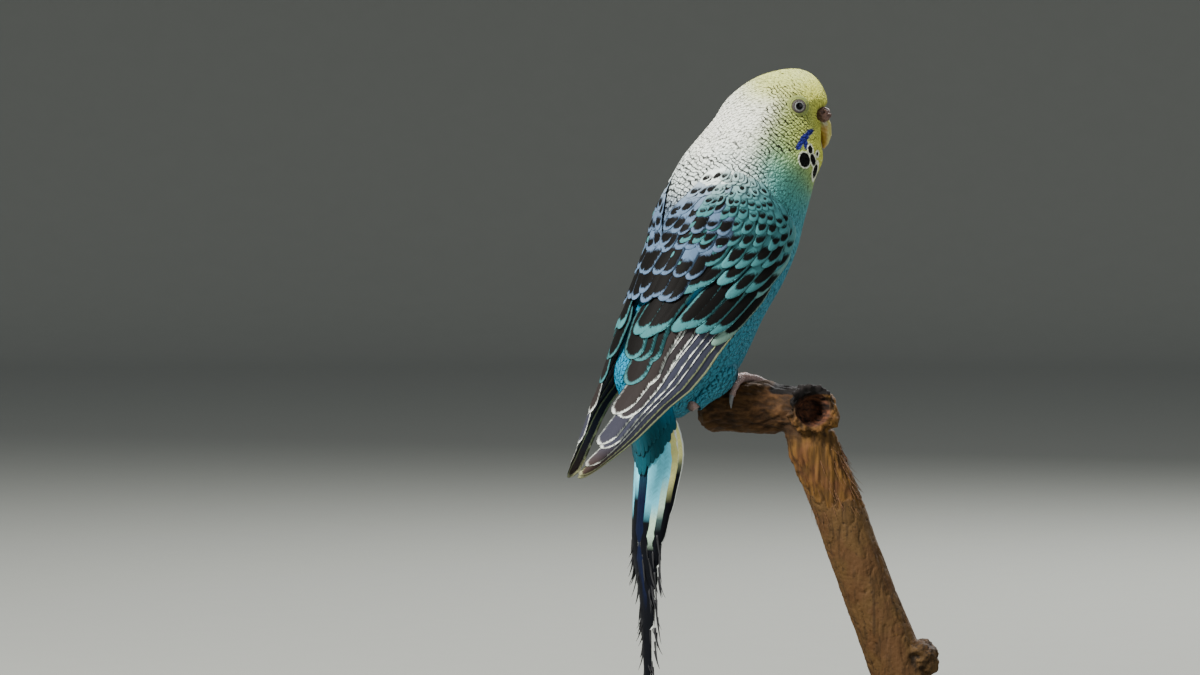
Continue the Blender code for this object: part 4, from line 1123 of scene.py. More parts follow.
def add_coat(name, slot, finish, colours, arrays):
    """Show one zone of the coat as a piece."""
    points, quads, triangles, uv, patches, tint, marks, span = arrays
    mesh = build_mesh(name, points, quads, triangles, {"vane": uv, "OFBake": patches}, {"tint": tint, "rim": tint},
                      {"marks": marks, "span": span, "middle": np.full(span.shape, WHOLE)})
    print(name, len(points), "feathers", len(quads) * 2 + len(triangles), "triangles")
    add_piece(name, mesh, finish, slot)


def leg_coat(side, ankle, sizes, colours, chance):
    """Small feathers round the thigh: rows of straight vanes along the leg's line, rooted in
    its tube and raised at the tips, shorter towards the ankle."""
    upper = np.array((THIGH_TOP[0], ankle[1] + side * THIGH_TOP[1], THIGH_TOP[2]))
    rows, around = 20, 24
    share = np.repeat(np.linspace(0.03, 0.93, rows), around) + 0.01 * chance.standard_normal(rows * around)
    turn = np.tile(np.arange(around) / around, rows) + np.repeat(np.arange(rows) % 2, around) / (2 * around)
    turn = (turn + 0.01 * chance.standard_normal(rows * around)) * 2 * math.pi
    lie = unit(ankle - upper)
    first = unit(np.cross(lie, (0.0, 1.0, 0.0)))
    second = np.cross(lie, first)
    out = first * np.cos(turn)[:, None] + second * np.sin(turn)[:, None]
    radius = leg_radius(share)
    roots = upper + (ankle - upper) * share[:, None] + out * (radius - 0.8)[:, None]
    length = (4.6 - 2.4 * share) * (1 + 0.1 * chance.standard_normal(len(share)))
    half = 1.0 - 0.4 * share
    along = COAT_STATIONS[None, :, None]
    taper = (radius - leg_radius(share + 0.25))[:, None, None]
    line = (roots[:, None] + lie * along * length[:, None, None]
            + out[:, None] * (0.82 * (1 - (1 - along) ** 2.4) - taper * along * 0.8))
    normal = np.broadcast_to(out[:, None], line.shape)
    aside = unit(np.cross(np.gradient(line, axis=1), normal))
    outline = vane_outline(COAT_STATIONS[None], length[:, None], half[:, None], 1.15, 0.4)
    rings = feather_rings(line, aside, normal, half, np.full(len(share), 0.04), outline, 0.04)
    points, quads, triangles = vane_arrays(rings, line[:, 0], line[:, -1])
    uv = vane_uv(np.broadcast_to(COAT_STATIONS, (len(share), len(COAT_STATIONS))), ring_lanes(PLAIN_ACROSS)[0],
                 len(share))
    patches = np.stack((turn / (2 * math.pi) % 1.0, share), -1)[:, None] * 0.98 + 0.01 + (uv - 0.5) * PATCH
    tint = np.broadcast_to(colour_of(colours, "belly"), points.shape) * (
        1 + 0.06 * chance.standard_normal((len(share), 1, 1)))
    seed = np.broadcast_to(chance.random(len(share))[:, None], points.shape[:2])
    marks = np.stack((0 * seed, 0 * seed, seed), -1)
    span = np.stack(np.broadcast_arrays(half[:, None], length[:, None], 0 * seed), -1)
    return points, quads, triangles, uv, patches, np.clip(tint, 0, 1), marks, span


class BudgerigarWing(bpy.types.PropertyGroup):
    """Sizes of the large feathers, in millimetres."""

    flights: bpy.props.IntProperty(
        name="Flight feathers", description="Flight feathers of a wing", default=12, min=4)
    white_rim: size_property("White rim", "Width of the white rim of a flight feather", 0.34)
    thick: size_property("Vane thickness", "Thickness of a large feather at its shaft", 0.16)


# The flight feathers' tips from the outermost to the innermost: height and place across.
FLIGHT_ROOT = 133.5
FLIGHT_TIPS = (83.9, 84.8, 87.6, 93.0, 94.2, 102.2, 103.4, 111.6, 112.4, 119.0, 119.6, 120.2)
FLIGHT_TIP_ACROSS = (0.86, 0.64, 0.46, 0.40, 0.24, 0.36, 0.20, 0.34, 0.18, 0.30, 0.20, 0.10)

# Rows of coverts, from the lowest up: count, root height and place at the front and the back end
# of the row, length, how far the tip runs back, lift of root and tip, half width, width of the
# pale edge beside and below the dark middle, how far the dark runs up, and the edge's colour.
COVERT_ROWS = {
    "greater": (8, (143.0, 0.95), (147.0, 0.12), 17.5, 0.09, (0.9, 1.8), 3.3, 0.65, 2.6, WHOLE, "pale_edge"),
    "median": (8, (153.0, 0.95), (157.5, 0.14), 14.5, 0.08, (1.1, 2.1), 3.3, 0.75, 2.2, 7.0, "pale_edge"),
    "median_high": (9, (158.5, 0.93), (162.0, 0.16), 11.5, 0.06, (1.2, 2.3), 2.8, 0.7, 1.9, 4.0, "pale_edge"),
    "lesser_low": (10, (161.8, 0.92), (165.0, 0.18), 9.0, 0.05, (1.25, 2.4), 2.4, 0.6, 1.7, 2.9, "pale_edge"),
    "lesser_second": (10, (165.0, 0.90), (168.0, 0.20), 8.0, 0.05, (1.2, 2.4), 2.2, 0.6, 1.5, 2.3, "pale_edge"),
    "lesser_third": (11, (168.2, 0.88), (171.0, 0.22), 7.5, 0.04, (1.1, 2.3), 2.0, 0.6, 1.4, 1.8, "pale_edge"),
    "lesser_top": (12, (171.4, 0.86), (174.0, 0.24), 7.0, 0.04, (0.4, 2.1), 1.7, 0.6, 1.0, 1.6, "pale_edge"),
    "lesser_edge": (13, (174.4, 0.84), (176.8, 0.26), 6.0, 0.03, (-0.6, 1.7), 1.6, 0.7, 0.8, 1.3, "pale_edge"),
    "lesser_crest": (14, (177.8, 0.80), (179.6, 0.30), 5.5, 0.03, (-1.6, 1.1), 1.5, 0.7, 0.8, 1.1, "pale_edge"),
    "shoulder_low": (5, (152.0, 0.26), (152.5, -0.04), 13.5, 0.02, (1.9, 2.5), 3.0, 0.45, 1.2, 9.0, "mantle"),
    "shoulder_second": (5, (158.0, 0.34), (158.5, -0.05), 12.0, 0.02, (2.0, 2.6), 2.9, 0.45, 1.2, 6.5, "mantle"),
    "shoulder_third": (6, (163.5, 0.40), (164.0, -0.06), 10.5, 0.02, (1.9, 2.5), 2.7, 0.45, 1.1, 4.6, "mantle"),
    "shoulder_fourth": (6, (168.0, 0.42), (168.5, -0.07), 9.5, 0.02, (1.5, 2.8), 2.5, 0.45, 1.1, 3.4, "mantle"),
    "shoulder_fifth": (6, (172.5, 0.42), (173.0, -0.08), 9.0, 0.02, (0.7, 2.4), 2.4, 0.45, 1.1, 2.9, "mantle"),
    "shoulder_sixth": (7, (176.8, 0.40), (177.3, -0.08), 8.0, 0.02, (-0.3, 1.8), 2.0, 0.45, 1.1, 2.2, "mantle"),
    "shoulder_top": (8, (180.6, 0.38), (181.0, -0.08), 7.0, 0.02, (-1.2, 1.2), 1.8, 0.5, 1.0, 1.6, "hind_neck"),
}
VANE_STATIONS = np.sin(np.linspace(0, 0.5, 15) * math.pi) ** 1.1
FEW_STATIONS = np.sin(np.linspace(0, 0.5, 9) * math.pi) ** 1.1


def surface_vanes(surface, side, heights, across, lifts, half, thick, stations=VANE_STATIONS,
                  point=1.2, tilt=0.10, camber=0.10):
    """Vanes that lie on a wing or tail surface. Each is a grid of its own places along and
    across, carried into the surface's height and across: the centre runs from root to tip,
    the side places are divided by the surface's girth there, and the lift rises from root
    to tip, with the outer edge tilted up and the middle cambered."""
    count = len(heights)
    along = np.broadcast_to(stations, (count, len(stations)))
    height = heights[:, :1] + (heights[:, 1:] - heights[:, :1]) * along
    middle = across[:, :1] + (across[:, 1:] - across[:, :1]) * along ** 1.3
    lift = lifts[:, :1] + (lifts[:, 1:] - lifts[:, :1]) * along
    girth = np.linalg.norm(
        surface(height, middle + 0.02, lift, side) - surface(height, middle - 0.02, lift, side), axis=-1) / 0.04
    length = np.abs(heights[:, 1:] - heights[:, :1])
    share = vane_outline(along, length, half[:, None], point, 0.45)
    lanes, faces = ring_lanes(FINE_ACROSS)
    wide = (half[:, None] * share)[:, 1:-1, None]
    places = middle[:, 1:-1, None] + lanes * wide / np.maximum(girth[:, 1:-1, None], 3.0)
    raised = (lift[:, 1:-1, None] + tilt * lanes * wide + camber * (1 - lanes ** 2) * wide
              + faces * thick * 0.5 * (1.15 - along[:, 1:-1, None]))
    rings = surface(height[:, 1:-1, None] + 0.0 * places, places, raised, side)
    roots = surface(height[:, 0], middle[:, 0], lift[:, 0], side)
    tips = surface(height[:, -1], middle[:, -1], lift[:, -1], side)
    points, quads, triangles = vane_arrays(rings, roots, tips)
    uv = vane_uv(along, lanes, count)
    columns = math.ceil(math.sqrt(count))
    cell = np.stack((np.arange(count) % columns, np.arange(count) // columns), -1)[:, None]
    atlas = (cell + 0.04 + uv * 0.92) / columns
    return points, quads, triangles, uv, atlas, length


def lay_vanes(name, slot, finish, batches, *nodes):
    """One piece from batches of vanes, each with its tint, rim, marks and span."""
    shapes = [(batch["points"].reshape(-1, 3), batch["quads"], batch["triangles"]) for batch in batches]
    points, quads, triangles = join_parts(shapes)
    flat = {key: np.concatenate([np.broadcast_to(batch[key], (*batch["points"].shape[:2], batch[key].shape[-1]))
                                 .reshape(-1, batch[key].shape[-1]) for batch in batches])
            for key in ("uv", "atlas", "tint", "rim", "marks", "span", "middle")}
    columns = len(batches)
    shift = np.concatenate([np.full(len(shape[0]), k) for k, shape in enumerate(shapes)])
    flat["atlas"] = flat["atlas"].copy()
    side = math.ceil(math.sqrt(columns))
    flat["atlas"] = (flat["atlas"] + np.stack((shift % side, shift // side), -1)) / side
    mesh = build_mesh(name, points, quads, triangles, {"vane": flat["uv"], "OFBake": flat["atlas"]},
                      {"tint": np.clip(flat["tint"], 0, 1), "rim": np.clip(flat["rim"], 0, 1)},
                      {key: flat[key] for key in ("marks", "span", "middle")})
    return add_piece(name, mesh, finish, slot, *nodes)


def vane_batch(arrays, half, tint, rim, widths, chance):
    """Put one batch's arrays and its colours together; the widths are those of the rim beside
    and below the middle, and the middle's run up the vane."""
    points, quads, triangles, uv, atlas, length = arrays
    count = len(points)
    side_rim, tip_rim, run = (np.broadcast_to(width, count) for width in widths)
    marks = np.stack((np.zeros(count), side_rim, chance.random(count)), -1)[:, None]
    span = np.stack((half, length[:, 0], tip_rim), -1)[:, None]
    middle = np.stack((run, run, run), -1)[:, None]
    vary = 1 + 0.06 * chance.standard_normal((count, 1, 1))
    return {"points": points, "quads": quads, "triangles": triangles, "uv": uv, "atlas": atlas, "tint": tint * vary,
            "rim": np.broadcast_to(rim, tint.shape) * vary, "marks": marks, "span": span, "middle": middle}


def flight_batches(side, colours, sizes, chance):
    """Flight feathers: from the outermost primary to the innermost tertial, each laid a
    little over the one outside it."""
    count = sizes.flights
    place = np.linspace(0, len(FLIGHT_TIPS) - 1, count)
    steps = np.arange(len(FLIGHT_TIPS))
    tips = np.interp(place, steps, FLIGHT_TIPS)
    tip_across = np.interp(place, steps, FLIGHT_TIP_ACROSS)
    root_across = 1 - (place + 0.7) / len(FLIGHT_TIPS)
    inner = place / (len(FLIGHT_TIPS) - 1)
    heights = np.stack((np.full(count, FLIGHT_ROOT + 4.0), tips), -1)
    across = np.stack((root_across, tip_across), -1)
    level = 0.10 + 1.2 * inner
    lifts = np.stack((level, level * 0.8 + 0.1), -1)
    half = 2.5 + 1.7 * smooth_step(inner, 0.1, 0.6)
    arrays = surface_vanes(wing_point, side, heights, across, lifts, half, sizes.thick * 0.7,
                           point=0.9, tilt=0.06, camber=0.03)
    points = arrays[0]
    share = smooth_step(inner, 0.30, 0.5)[:, None, None]
    tertial = smooth_step(inner, 0.62, 0.80)[:, None, None]
    tint = colour_of(colours, "primary") * (1 - share) + colour_of(colours, "secondary") * share
    tint = tint * (1 - tertial) + colour_of(colours, "dark") * tertial
    low = (1 - smooth_step(points[..., 2:3], 86.0, 97.0)) * 0.8
    tint = tint * (1 - low) + colour_of(colours, "wing_tip") * low
    rim = np.broadcast_to(colour_of(colours, "white_edge"), (count, 1, 3)).copy()
    rim[:2] = colour_of(colours, "yellow_edge")
    rim[-4:] = colour_of(colours, "pale_edge")
    rim = rim * (1 - 0.7 * low) + colour_of(colours, "wing_tip") * 1.5 * 0.7 * low
    side_rim = np.full(count, sizes.white_rim)
    side_rim[:2] = (0.9, 0.5)
    side_rim[-4:] = 0.8
    return [vane_batch(arrays, half, tint, rim, (side_rim, np.minimum(side_rim, 0.8), WHOLE), chance)]


def covert_batches(side, colours, sizes, chance):
    """Rows of wing coverts from the lowest to the shoulder: dark middles in pale edges."""
    batches = []
    dark = colour_of(colours, "dark")
    for name, row in COVERT_ROWS.items():
        count, front, back, length, run, lift, half, side_rim, tip_rim, dark_run, edge_name = row
        share = (np.arange(count) + 0.16 * chance.standard_normal(count)) / (count - 1)
        root_height = front[0] + (back[0] - front[0]) * share + 0.55 * chance.standard_normal(count)
        root_across = front[1] + (back[1] - front[1]) * share
        lengths = length * (1 + 0.06 * chance.standard_normal(count))
        heights = np.stack((root_height, root_height - lengths), -1)
        across = np.stack((root_across, root_across - run), -1)
        level = 0.03 * np.arange(count)
        lifts = np.stack((lift[0] + level, lift[1] + level), -1)
        lifts = lifts * (0.45 + 0.55 * smooth_step(root_across, 1.0, 0.8))[:, None]
        halves = half * (1 + 0.05 * chance.standard_normal(count))
        stations = FEW_STATIONS if length < 11 else VANE_STATIONS
        arrays = surface_vanes(shoulder_point, side, heights, across, lifts, halves, sizes.thick, stations,
                               1.0, 0.04, 0.10)
        points = arrays[0]
        around = plumage_colour(points, colours)
        top = smooth_step(points[..., 2:3], 162.0, 176.0)
        rim = np.broadcast_to(colour_of(colours, edge_name), points.shape)
        blend = 0.5 * top if edge_name == "pale_edge" else 0.4 * top
        rim = rim * (1 - blend) + around * blend
        yellow = smooth_step(root_across, 0.92, 0.98)[:, None, None] * (1 - top) * 0.45
        rim = rim * (1 - yellow) + colour_of(colours, "yellow_edge") * yellow
        middle = np.broadcast_to(dark, points.shape)
        vary = 1 + 0.22 * chance.standard_normal((3, count)).clip(-1.8, 1.8)
        widths = (side_rim * vary[0], tip_rim * vary[1], dark_run * vary[2])
        batches.append(vane_batch(arrays, halves, middle, rim, widths, chance))
    return batches


# The tail feathers from the middle pair outwards: tip height and half width.
RECTRIX_ROOT = 103.0
RECTRIX_TIPS = (13.4, 36.0, 48.0, 55.5, 63.0, 72.0)
RECTRIX_HALF = (2.3, 2.5, 2.6, 2.5, 2.4, 2.2)
TAIL_COVERT_ROWS = ((108.0, 83.0, 101.0, 9, -1.1), (111.0, 89.0, 104.0, 9, -0.8), (114.0, 96.0, 107.5, 9, -0.5),
                    (117.0, 103.0, 110.5, 9, -0.2))


def tail_tint(points, order, side, colours):
    """Colour of the tail feathers by height: teal at the root, partly the tail's own colour and partly painted
    shade of the wing over it; a cyan patch, partly the tail's own blue and partly a painted sunlit patch, and a
    yellow band on the side feathers; navy on the middle pair, and black towards the tips."""
    height = points[..., 2:3]
    order = order[:, None, None]
    tips = np.array(RECTRIX_TIPS)[order.astype(int)]
    # The teal at the root is partly the tail's own colour and partly painted shade of the wing over it.
    tint = np.broadcast_to(colour_of(colours, "tail_shaded_teal"), points.shape)
    middle = (order == 0)
    # Painted light: the cyan patch is partly the tail's own blue and partly painted sunlight on the tail.
    cyan = (1 - smooth_step(height, 88.0 + 3 * order, 98.0 + 3 * order)) * np.where(middle, 0.12, 1.0)
    tint = tint * (1 - cyan) + colour_of(colours, "tail_sunlit_cyan") * cyan
    top = np.where(order >= 4, 112.0, tips + 22)
    band = smooth_step(height, tips + 12, tips + 17) * (1 - smooth_step(height, top, top + 6))
    band = band * np.where(order >= 2, np.where(order >= 4, 1.0, 0.6), 0.0)
    tint = tint * (1 - band) + colour_of(colours, "tail_yellow") * band
    navy = (1 - smooth_step(height, 80.0, 98.0)) * np.where(middle, 1.0, 0.0)
    tint = tint * (1 - navy) + colour_of(colours, "tail_navy") * navy
    limit = np.where(middle, 44.0, np.where(order == 1, 70.0, tips + 14)) + (8.0 if side > 0 else 0.0)
    black = 1 - smooth_step(height, limit, limit + 5)
    return tint * (1 - black) + colour_of(colours, "tail_black") * black


def tail_batches(side, colours, sizes, chance):
    """The tail feathers of one side and the coverts over their roots."""
    order = np.arange(len(RECTRIX_TIPS))
    half = np.array(RECTRIX_HALF)
    heights = np.stack((np.full(len(order), RECTRIX_ROOT), np.array(RECTRIX_TIPS)), -1)
    place = 0.07 + 0.18 * order
    across = np.stack((place, place), -1)
    lifts = np.stack((-0.5 - 0.06 * order, 0.0 - 0.10 * order), -1)
    arrays = surface_vanes(tail_point, side, heights, across, lifts, half, sizes.thick, point=2.2, tilt=-0.03)
    tint = tail_tint(arrays[0], order.astype(float), side, colours)
    rim = np.broadcast_to(colour_of(colours, "white_edge"), tint.shape)
    width = np.where(order == len(order) - 1, 1.3, np.where(order == len(order) - 2, 0.5, 0.0))
    batches = [vane_batch(arrays, half, tint, rim, (width, 0.0, WHOLE), chance)]
    for root, tip, side_tip, count, lift in TAIL_COVERT_ROWS:
        place = (np.arange(count) + 0.5) / count * 0.9
        tips = tip + (side_tip - tip) * place + 0.4 * chance.standard_normal(count)
        heights = np.stack((np.full(count, root), tips), -1)
        across = np.stack((place, place), -1)
        lifts = np.stack((np.full(count, lift + 0.6), np.full(count, lift + 1.6)), -1)
        halves = np.full(count, 1.7)
        arrays = surface_vanes(tail_point, side, heights, across, lifts, halves, sizes.thick, FEW_STATIONS, 2.6)
        high = smooth_step(arrays[0][..., 2:3], 98.0, 110.0)
        # The lower coverts take the teal that is partly painted shade of the wing over the tail's root.
        tint = colour_of(colours, "tail_shaded_teal") * (1 - high) + colour_of(colours, "rump") * 0.7 * high
        batches.append(vane_batch(arrays, halves, tint, tint * 1.15, (0.12, 0.12, WHOLE), chance))
    return batches


def tail_barbs(chance, colours):
    """Loose pointed barbs that fray out of the tail's lower feathers: curved tubes that lie
    nearly along the tail, leave its edge and bend outwards at their tips."""
    parts = []
    share = np.linspace(0, 1, 9)[:, None]
    for _ in range(84):
        side = chance.choice((-1, 1))
        height = chance.uniform(20.0, 66.0)
        start = tail_point(np.array(height), np.array(chance.uniform(0.1, 0.95)), -0.5, side)
        reach = chance.uniform(5.0, 10.0) * (0.75 + 0.25 * (height > 30))
        out = np.array((chance.uniform(-0.10, 0.08), side * chance.uniform(0.02, 0.18), -1.0))
        curve = np.array((chance.uniform(-0.1, 0.1), side * chance.uniform(0.05, 0.34), 0.05))
        path = start + unit(out) * reach * share + curve * reach * share ** 2.5
        thick = chance.uniform(0.25, 0.5)
        parts.append(capped_tube(tube_along(path, thick * (1.04 - share[:, 0]) ** 0.8, 6)))
    return join_parts(parts)


class BUDGERIGAR_OT_wings(bpy.types.Operator):
    """Lay the flight feathers and the rows of coverts on both wings"""

    bl_idname = "budgerigar.wings"
    bl_label = "Wings"

    def execute(self, context):
        colours = context.scene.budgerigar_plumage
        sizes = context.scene.budgerigar_wing
        chance = np.random.default_rng(context.scene.budgerigar_coat.seed + 1)
        finish = feather_finish("wing_vanes", colours, 0.42, 0.6, 0.5, 0.45, False)
        for word, side in (("right", -1), ("left", 1)):
            lay_vanes("flights_" + word, "wing_feathers", finish,
                      flight_batches(side, colours, sizes, chance), "wing_" + word)
            lay_vanes("coverts_" + word, "wing_feathers", finish, covert_batches(side, colours, sizes, chance))
        return {"FINISHED"}


class BUDGERIGAR_OT_tail(bpy.types.Operator):
    """Lay the tail feathers, their coverts and the loose barbs"""

    bl_idname = "budgerigar.tail"
    bl_label = "Tail"

    def execute(self, context):
        colours = context.scene.budgerigar_plumage
        sizes = context.scene.budgerigar_wing
        chance = np.random.default_rng(context.scene.budgerigar_coat.seed + 2)
        finish = feather_finish("tail_vanes", colours, 0.42, 0.55, 0.25, 0.7, False)
        batches = tail_batches(-1, colours, sizes, chance) + tail_batches(1, colours, sizes, chance)
        lay_vanes("tail_feathers", "tail_feathers", finish, batches, "tail")
        barbs = Finish("tail_barbs")
        barbs.set(Base_Color=(*colours.tail_black, 1.0), Roughness=0.7)
        mesh = build_mesh("tail_barbs", *tail_barbs(chance, colours))
        add_piece("tail_barbs", mesh, barbs, "tail_feathers")
        return {"FINISHED"}


class BudgerigarBare(bpy.types.PropertyGroup):
    """Colours of the bare parts, the branch and the stand."""

    pupil: colour_property("Pupil", "Black of the pupil", 4, 4, 5)
    iris: colour_property("Iris", "Pale grey ring round the pupil", 132, 134, 134)
    lid: colour_property("Lid", "Dark grey brown lid ring", 52, 44, 42)
    cere: colour_property("Cere", "Brown of the cere", 70, 44, 36)
    beak: colour_property("Beak", "Olive ochre of the beak", 158, 126, 46)
    beak_root: colour_property("Beak root", "Greenish grey of the beak's root", 118, 124, 80)
    beak_edge: colour_property("Beak edge", "Pale ridge of the beak", 176, 168, 92)
    toe: colour_property("Toes", "Lilac grey of the toes", 146, 122, 116)
    shank: colour_property("Shank", "Warm skin of the shank", 172, 110, 84)
    claw: colour_property("Claws", "Blue grey of the claws", 62, 70, 84)
    claw_tip: colour_property("Claw tips", "Pale horn of the claw tips", 130, 128, 124)
    # The bare wood, weathered wood and bark browns are partly the branch's own colours and partly darkened as
    # painted shade.
    wood: colour_property("Bare wood", "Pale ochre of the bare wood", 100, 70, 30)
    red_wood: colour_property("Weathered wood", "Reddish brown of the weathered stub", 88, 60, 34)
    bark: colour_property("Bark", "Grey brown of the bark", 78, 57, 30)
    char: colour_property("Charred wood", "Black of the burnt rim and cracks", 20, 16, 15)
    rot: colour_property("Hollow", "Orange brown of the hollow's walls", 92, 56, 36)
    stand: colour_property("Stand", "Dark brown of the display stand", 58, 44, 36)


def eye_finish(side, colours):
    """The eye: a black pupil, a pale ring with fine spokes and a dark outer ring, by the
    distance from the eye's own axis, under a clear wet coat."""
    finish = Finish("eye_right" if side < 0 else "eye_left")
    centre = (eye_centre(side) + PLACE) * MM
    axis = eye_axis(side)
    offset = finish.add("ShaderNodeVectorMath", {"operation": "SUBTRACT"}, {0: finish.place(), 1: tuple(centre)})
    cross = finish.add("ShaderNodeVectorMath", {"operation": "CROSS_PRODUCT"}, {0: offset, 1: tuple(axis)})
    ring = finish.add("ShaderNodeVectorMath", {"operation": "LENGTH"}, {0: cross}, "Value") * (1 / MM)
    spokes = finish.noise(finish.place(), 3000.0, 2.0)
    colour = finish.mix(ring.ramp(1.06, 1.16), tuple(colours.pupil),
                        finish.shade(finish.mix(ring.ramp(1.16, 1.4), (0.12, 0.125, 0.13),
                                                tuple(colours.iris)), 0.65 + spokes * 0.5))
    colour = finish.mix(ring.ramp(1.42, 1.56), colour, tuple(colours.pupil))
    finish.set(Base_Color=colour, Roughness=0.12)
    finish.surface.inputs["Specular IOR Level"].default_value = 0.06
    finish.surface.inputs["Coat Weight"].default_value = 0.14
    finish.surface.inputs["Coat Roughness"].default_value = 0.04
    return finish


LID_OUT = 2.50
LID_FOLDS = ((1.66, 0.20, 30, 0.0), (1.94, 0.20, 37, 0.24))
DOWN_FOLDS = ((2.4, 0.34, 43, 0.62), (2.85, 0.36, 52, 0.95), (3.1, 0.38, 58, 1.4), (3.2, 0.38, 62, 1.85))


def lid_arrays(side, folds):
    """Folds round the eye: each is a torus round the eye's axis whose tube swells in beads;
    a fold is its radius, its tube's radius, its beads and how deep it is sunk."""
    axis = eye_axis(side)
    middle = eye_centre(side) + axis * LID_OUT
    first = unit(np.cross(axis, (0.0, 0.0, 1.0)))
    second = np.cross(axis, first)
    around = np.linspace(0, 2 * math.pi, 136, endpoint=False)[:, None]
    tube = np.linspace(0, 2 * math.pi, 14, endpoint=False)[None]
    parts = []
    for radius, thick, beads, sink in folds:
        swell = thick * (1 + 0.16 * np.cos(beads * around) * (beads > 0))
        reach = radius * (1 + 0.03 * np.cos(2 * around)) + swell * np.cos(tube)
        height = swell * np.sin(tube) * 0.85 - sink
        ring = (middle + first * (np.cos(around) * reach)[..., None]
                + second * (np.sin(around) * reach)[..., None] + axis * height[..., None])
        count, lanes = ring.shape[:2]
        row, lane = np.meshgrid(np.arange(count), np.arange(lanes), indexing="ij")
        here = row * lanes + lane
        beside = row * lanes + (lane + 1) % lanes
        below = (row + 1) % count
        quads = np.stack((here, beside, below * lanes + (lane + 1) % lanes, below * lanes + lane), -1)
        parts.append((ring.reshape(-1, 3), quads.reshape(-1, 4), np.zeros((0, 3), np.int64)))
    return join_parts(parts)


# The cere: half sizes and side place of each lobe, and the nostril's place in the head's frame.
CERE_SIZE = (2.55, 2.4, 2.5)
CERE_ASIDE = 2.2
NOSTRIL = (16.4, 4.3, 1.35)
NOSTRIL_SIZE = 0.42


def cere_arrays():
    """The cere: two ellipsoid lobes that run into one another, covered in warts of value
    noise, each with its nostril sunk as a bell-shaped pit."""
    turn = np.linspace(0, 2 * math.pi, 72, endpoint=False)[None]
    polar = np.linspace(0, math.pi, 54)[1:-1, None]
    level = np.stack((np.sin(polar) * np.cos(turn), np.sin(polar) * np.sin(turn), np.cos(polar) + 0 * turn), -1)
    angle = math.radians(HEAD_TURN)
    parts = []
    for side in (-1, 1):
        middle = np.array((CERE_FORWARD, side * CERE_ASIDE, CERE_UP))
        local = middle + level * np.array(CERE_SIZE)
        warts = value_noise(local, 1.5, 21) + 0.5 * value_noise(local, 3.4, 22) - 0.75
        pit = np.linalg.norm(local - np.array((NOSTRIL[0], side * NOSTRIL[1], NOSTRIL[2])), axis=-1)
        swell = 0.42 * warts - 0.7 * np.exp(-(pit / NOSTRIL_SIZE) ** 2)
        local = local + level * swell[..., None]
        forward, left, up = local[..., 0], local[..., 1], local[..., 2]
        parts.append(capped_tube(HEAD_ORIGIN + np.stack((
            forward * math.cos(angle) - left * math.sin(angle),
            forward * math.sin(angle) + left * math.cos(angle), up), -1)))
    return join_parts(parts)


class BUDGERIGAR_OT_face(bpy.types.Operator):
    """Finish the eyes, the lids, the cere and the beak"""

    bl_idname = "budgerigar.face"
    bl_label = "Face"

    def execute(self, context):
        colours = context.scene.budgerigar_bare
        lid = Finish("lid_skin")
        grain = lid.noise(lid.place(), 2500.0, 2.0)
        lid.set(Base_Color=lid.shade(lid.mix(grain, tuple(colours.lid), (0.10, 0.085, 0.075)), 0.8),
                Roughness=0.6)
        lid.bump(grain, 0.0001)
        socket = Finish("eye_down")
        tufts = socket.noise(socket.place(), 1800.0, 3.0)
        # The down round the eye takes the cheek colour, which is partly darkened as painted shade.
        cheek = tuple(context.scene.budgerigar_plumage.cheek)
        socket.set(Base_Color=socket.shade(cheek, 0.35 + tufts * 0.6), Roughness=0.85)
        socket.bump(tufts, 0.0002)
        for word, side in (("right", -1), ("left", 1)):
            dress_node("eye_" + word, eye_finish(side, colours))
            lids = build_mesh("lids_" + word, *lid_arrays(side, LID_FOLDS))
            add_piece("lids_" + word, lids, lid, "face_feathers")
            down = build_mesh("eye_down_" + word, *lid_arrays(side, DOWN_FOLDS))
            add_piece("eye_down_" + word, down, socket, "face_feathers")
        cere = Finish("cere_skin")
        place = cere.place()
        warts = cere.cells(place, 1500.0)
        fine = cere.noise(place, 3500.0, 3.0)
        blotch = cere.noise(place, 900.0, 3.0)
        tone = cere.mix(blotch.ramp(0.35, 0.65), tuple(colours.cere), (0.17, 0.085, 0.06))
        pits = [cere.add("ShaderNodeVectorMath", {"operation": "DISTANCE"}, {
            0: place, 1: tuple((head_point(NOSTRIL[0], side * NOSTRIL[1], NOSTRIL[2]) + PLACE) * MM)}, "Value")
            for side in (-1, 1)]
        # Painted shade: the cere's colour is darkened to a tenth at the nostrils, for the shade in their openings.
        open_skin = pits[0].least(pits[1]).ramp(0.4 * NOSTRIL_SIZE * MM, 1.1 * NOSTRIL_SIZE * MM)
        cere.set(Base_Color=cere.shade(tone, (0.65 + fine * 0.6 - warts * 0.15) * (0.1 + open_skin * 0.9)),
                 Roughness=0.62)
        cere.bump(fine * 0.5 - warts, 0.00022, 0.9)
        add_piece("cere_skin", build_mesh("cere_skin", *cere_arrays()), cere, "cere_skin", "cere")
        for node in ("beak_upper", "beak_lower"):
            dress_node(node, beak_finish(node, colours))
        return {"FINISHED"}


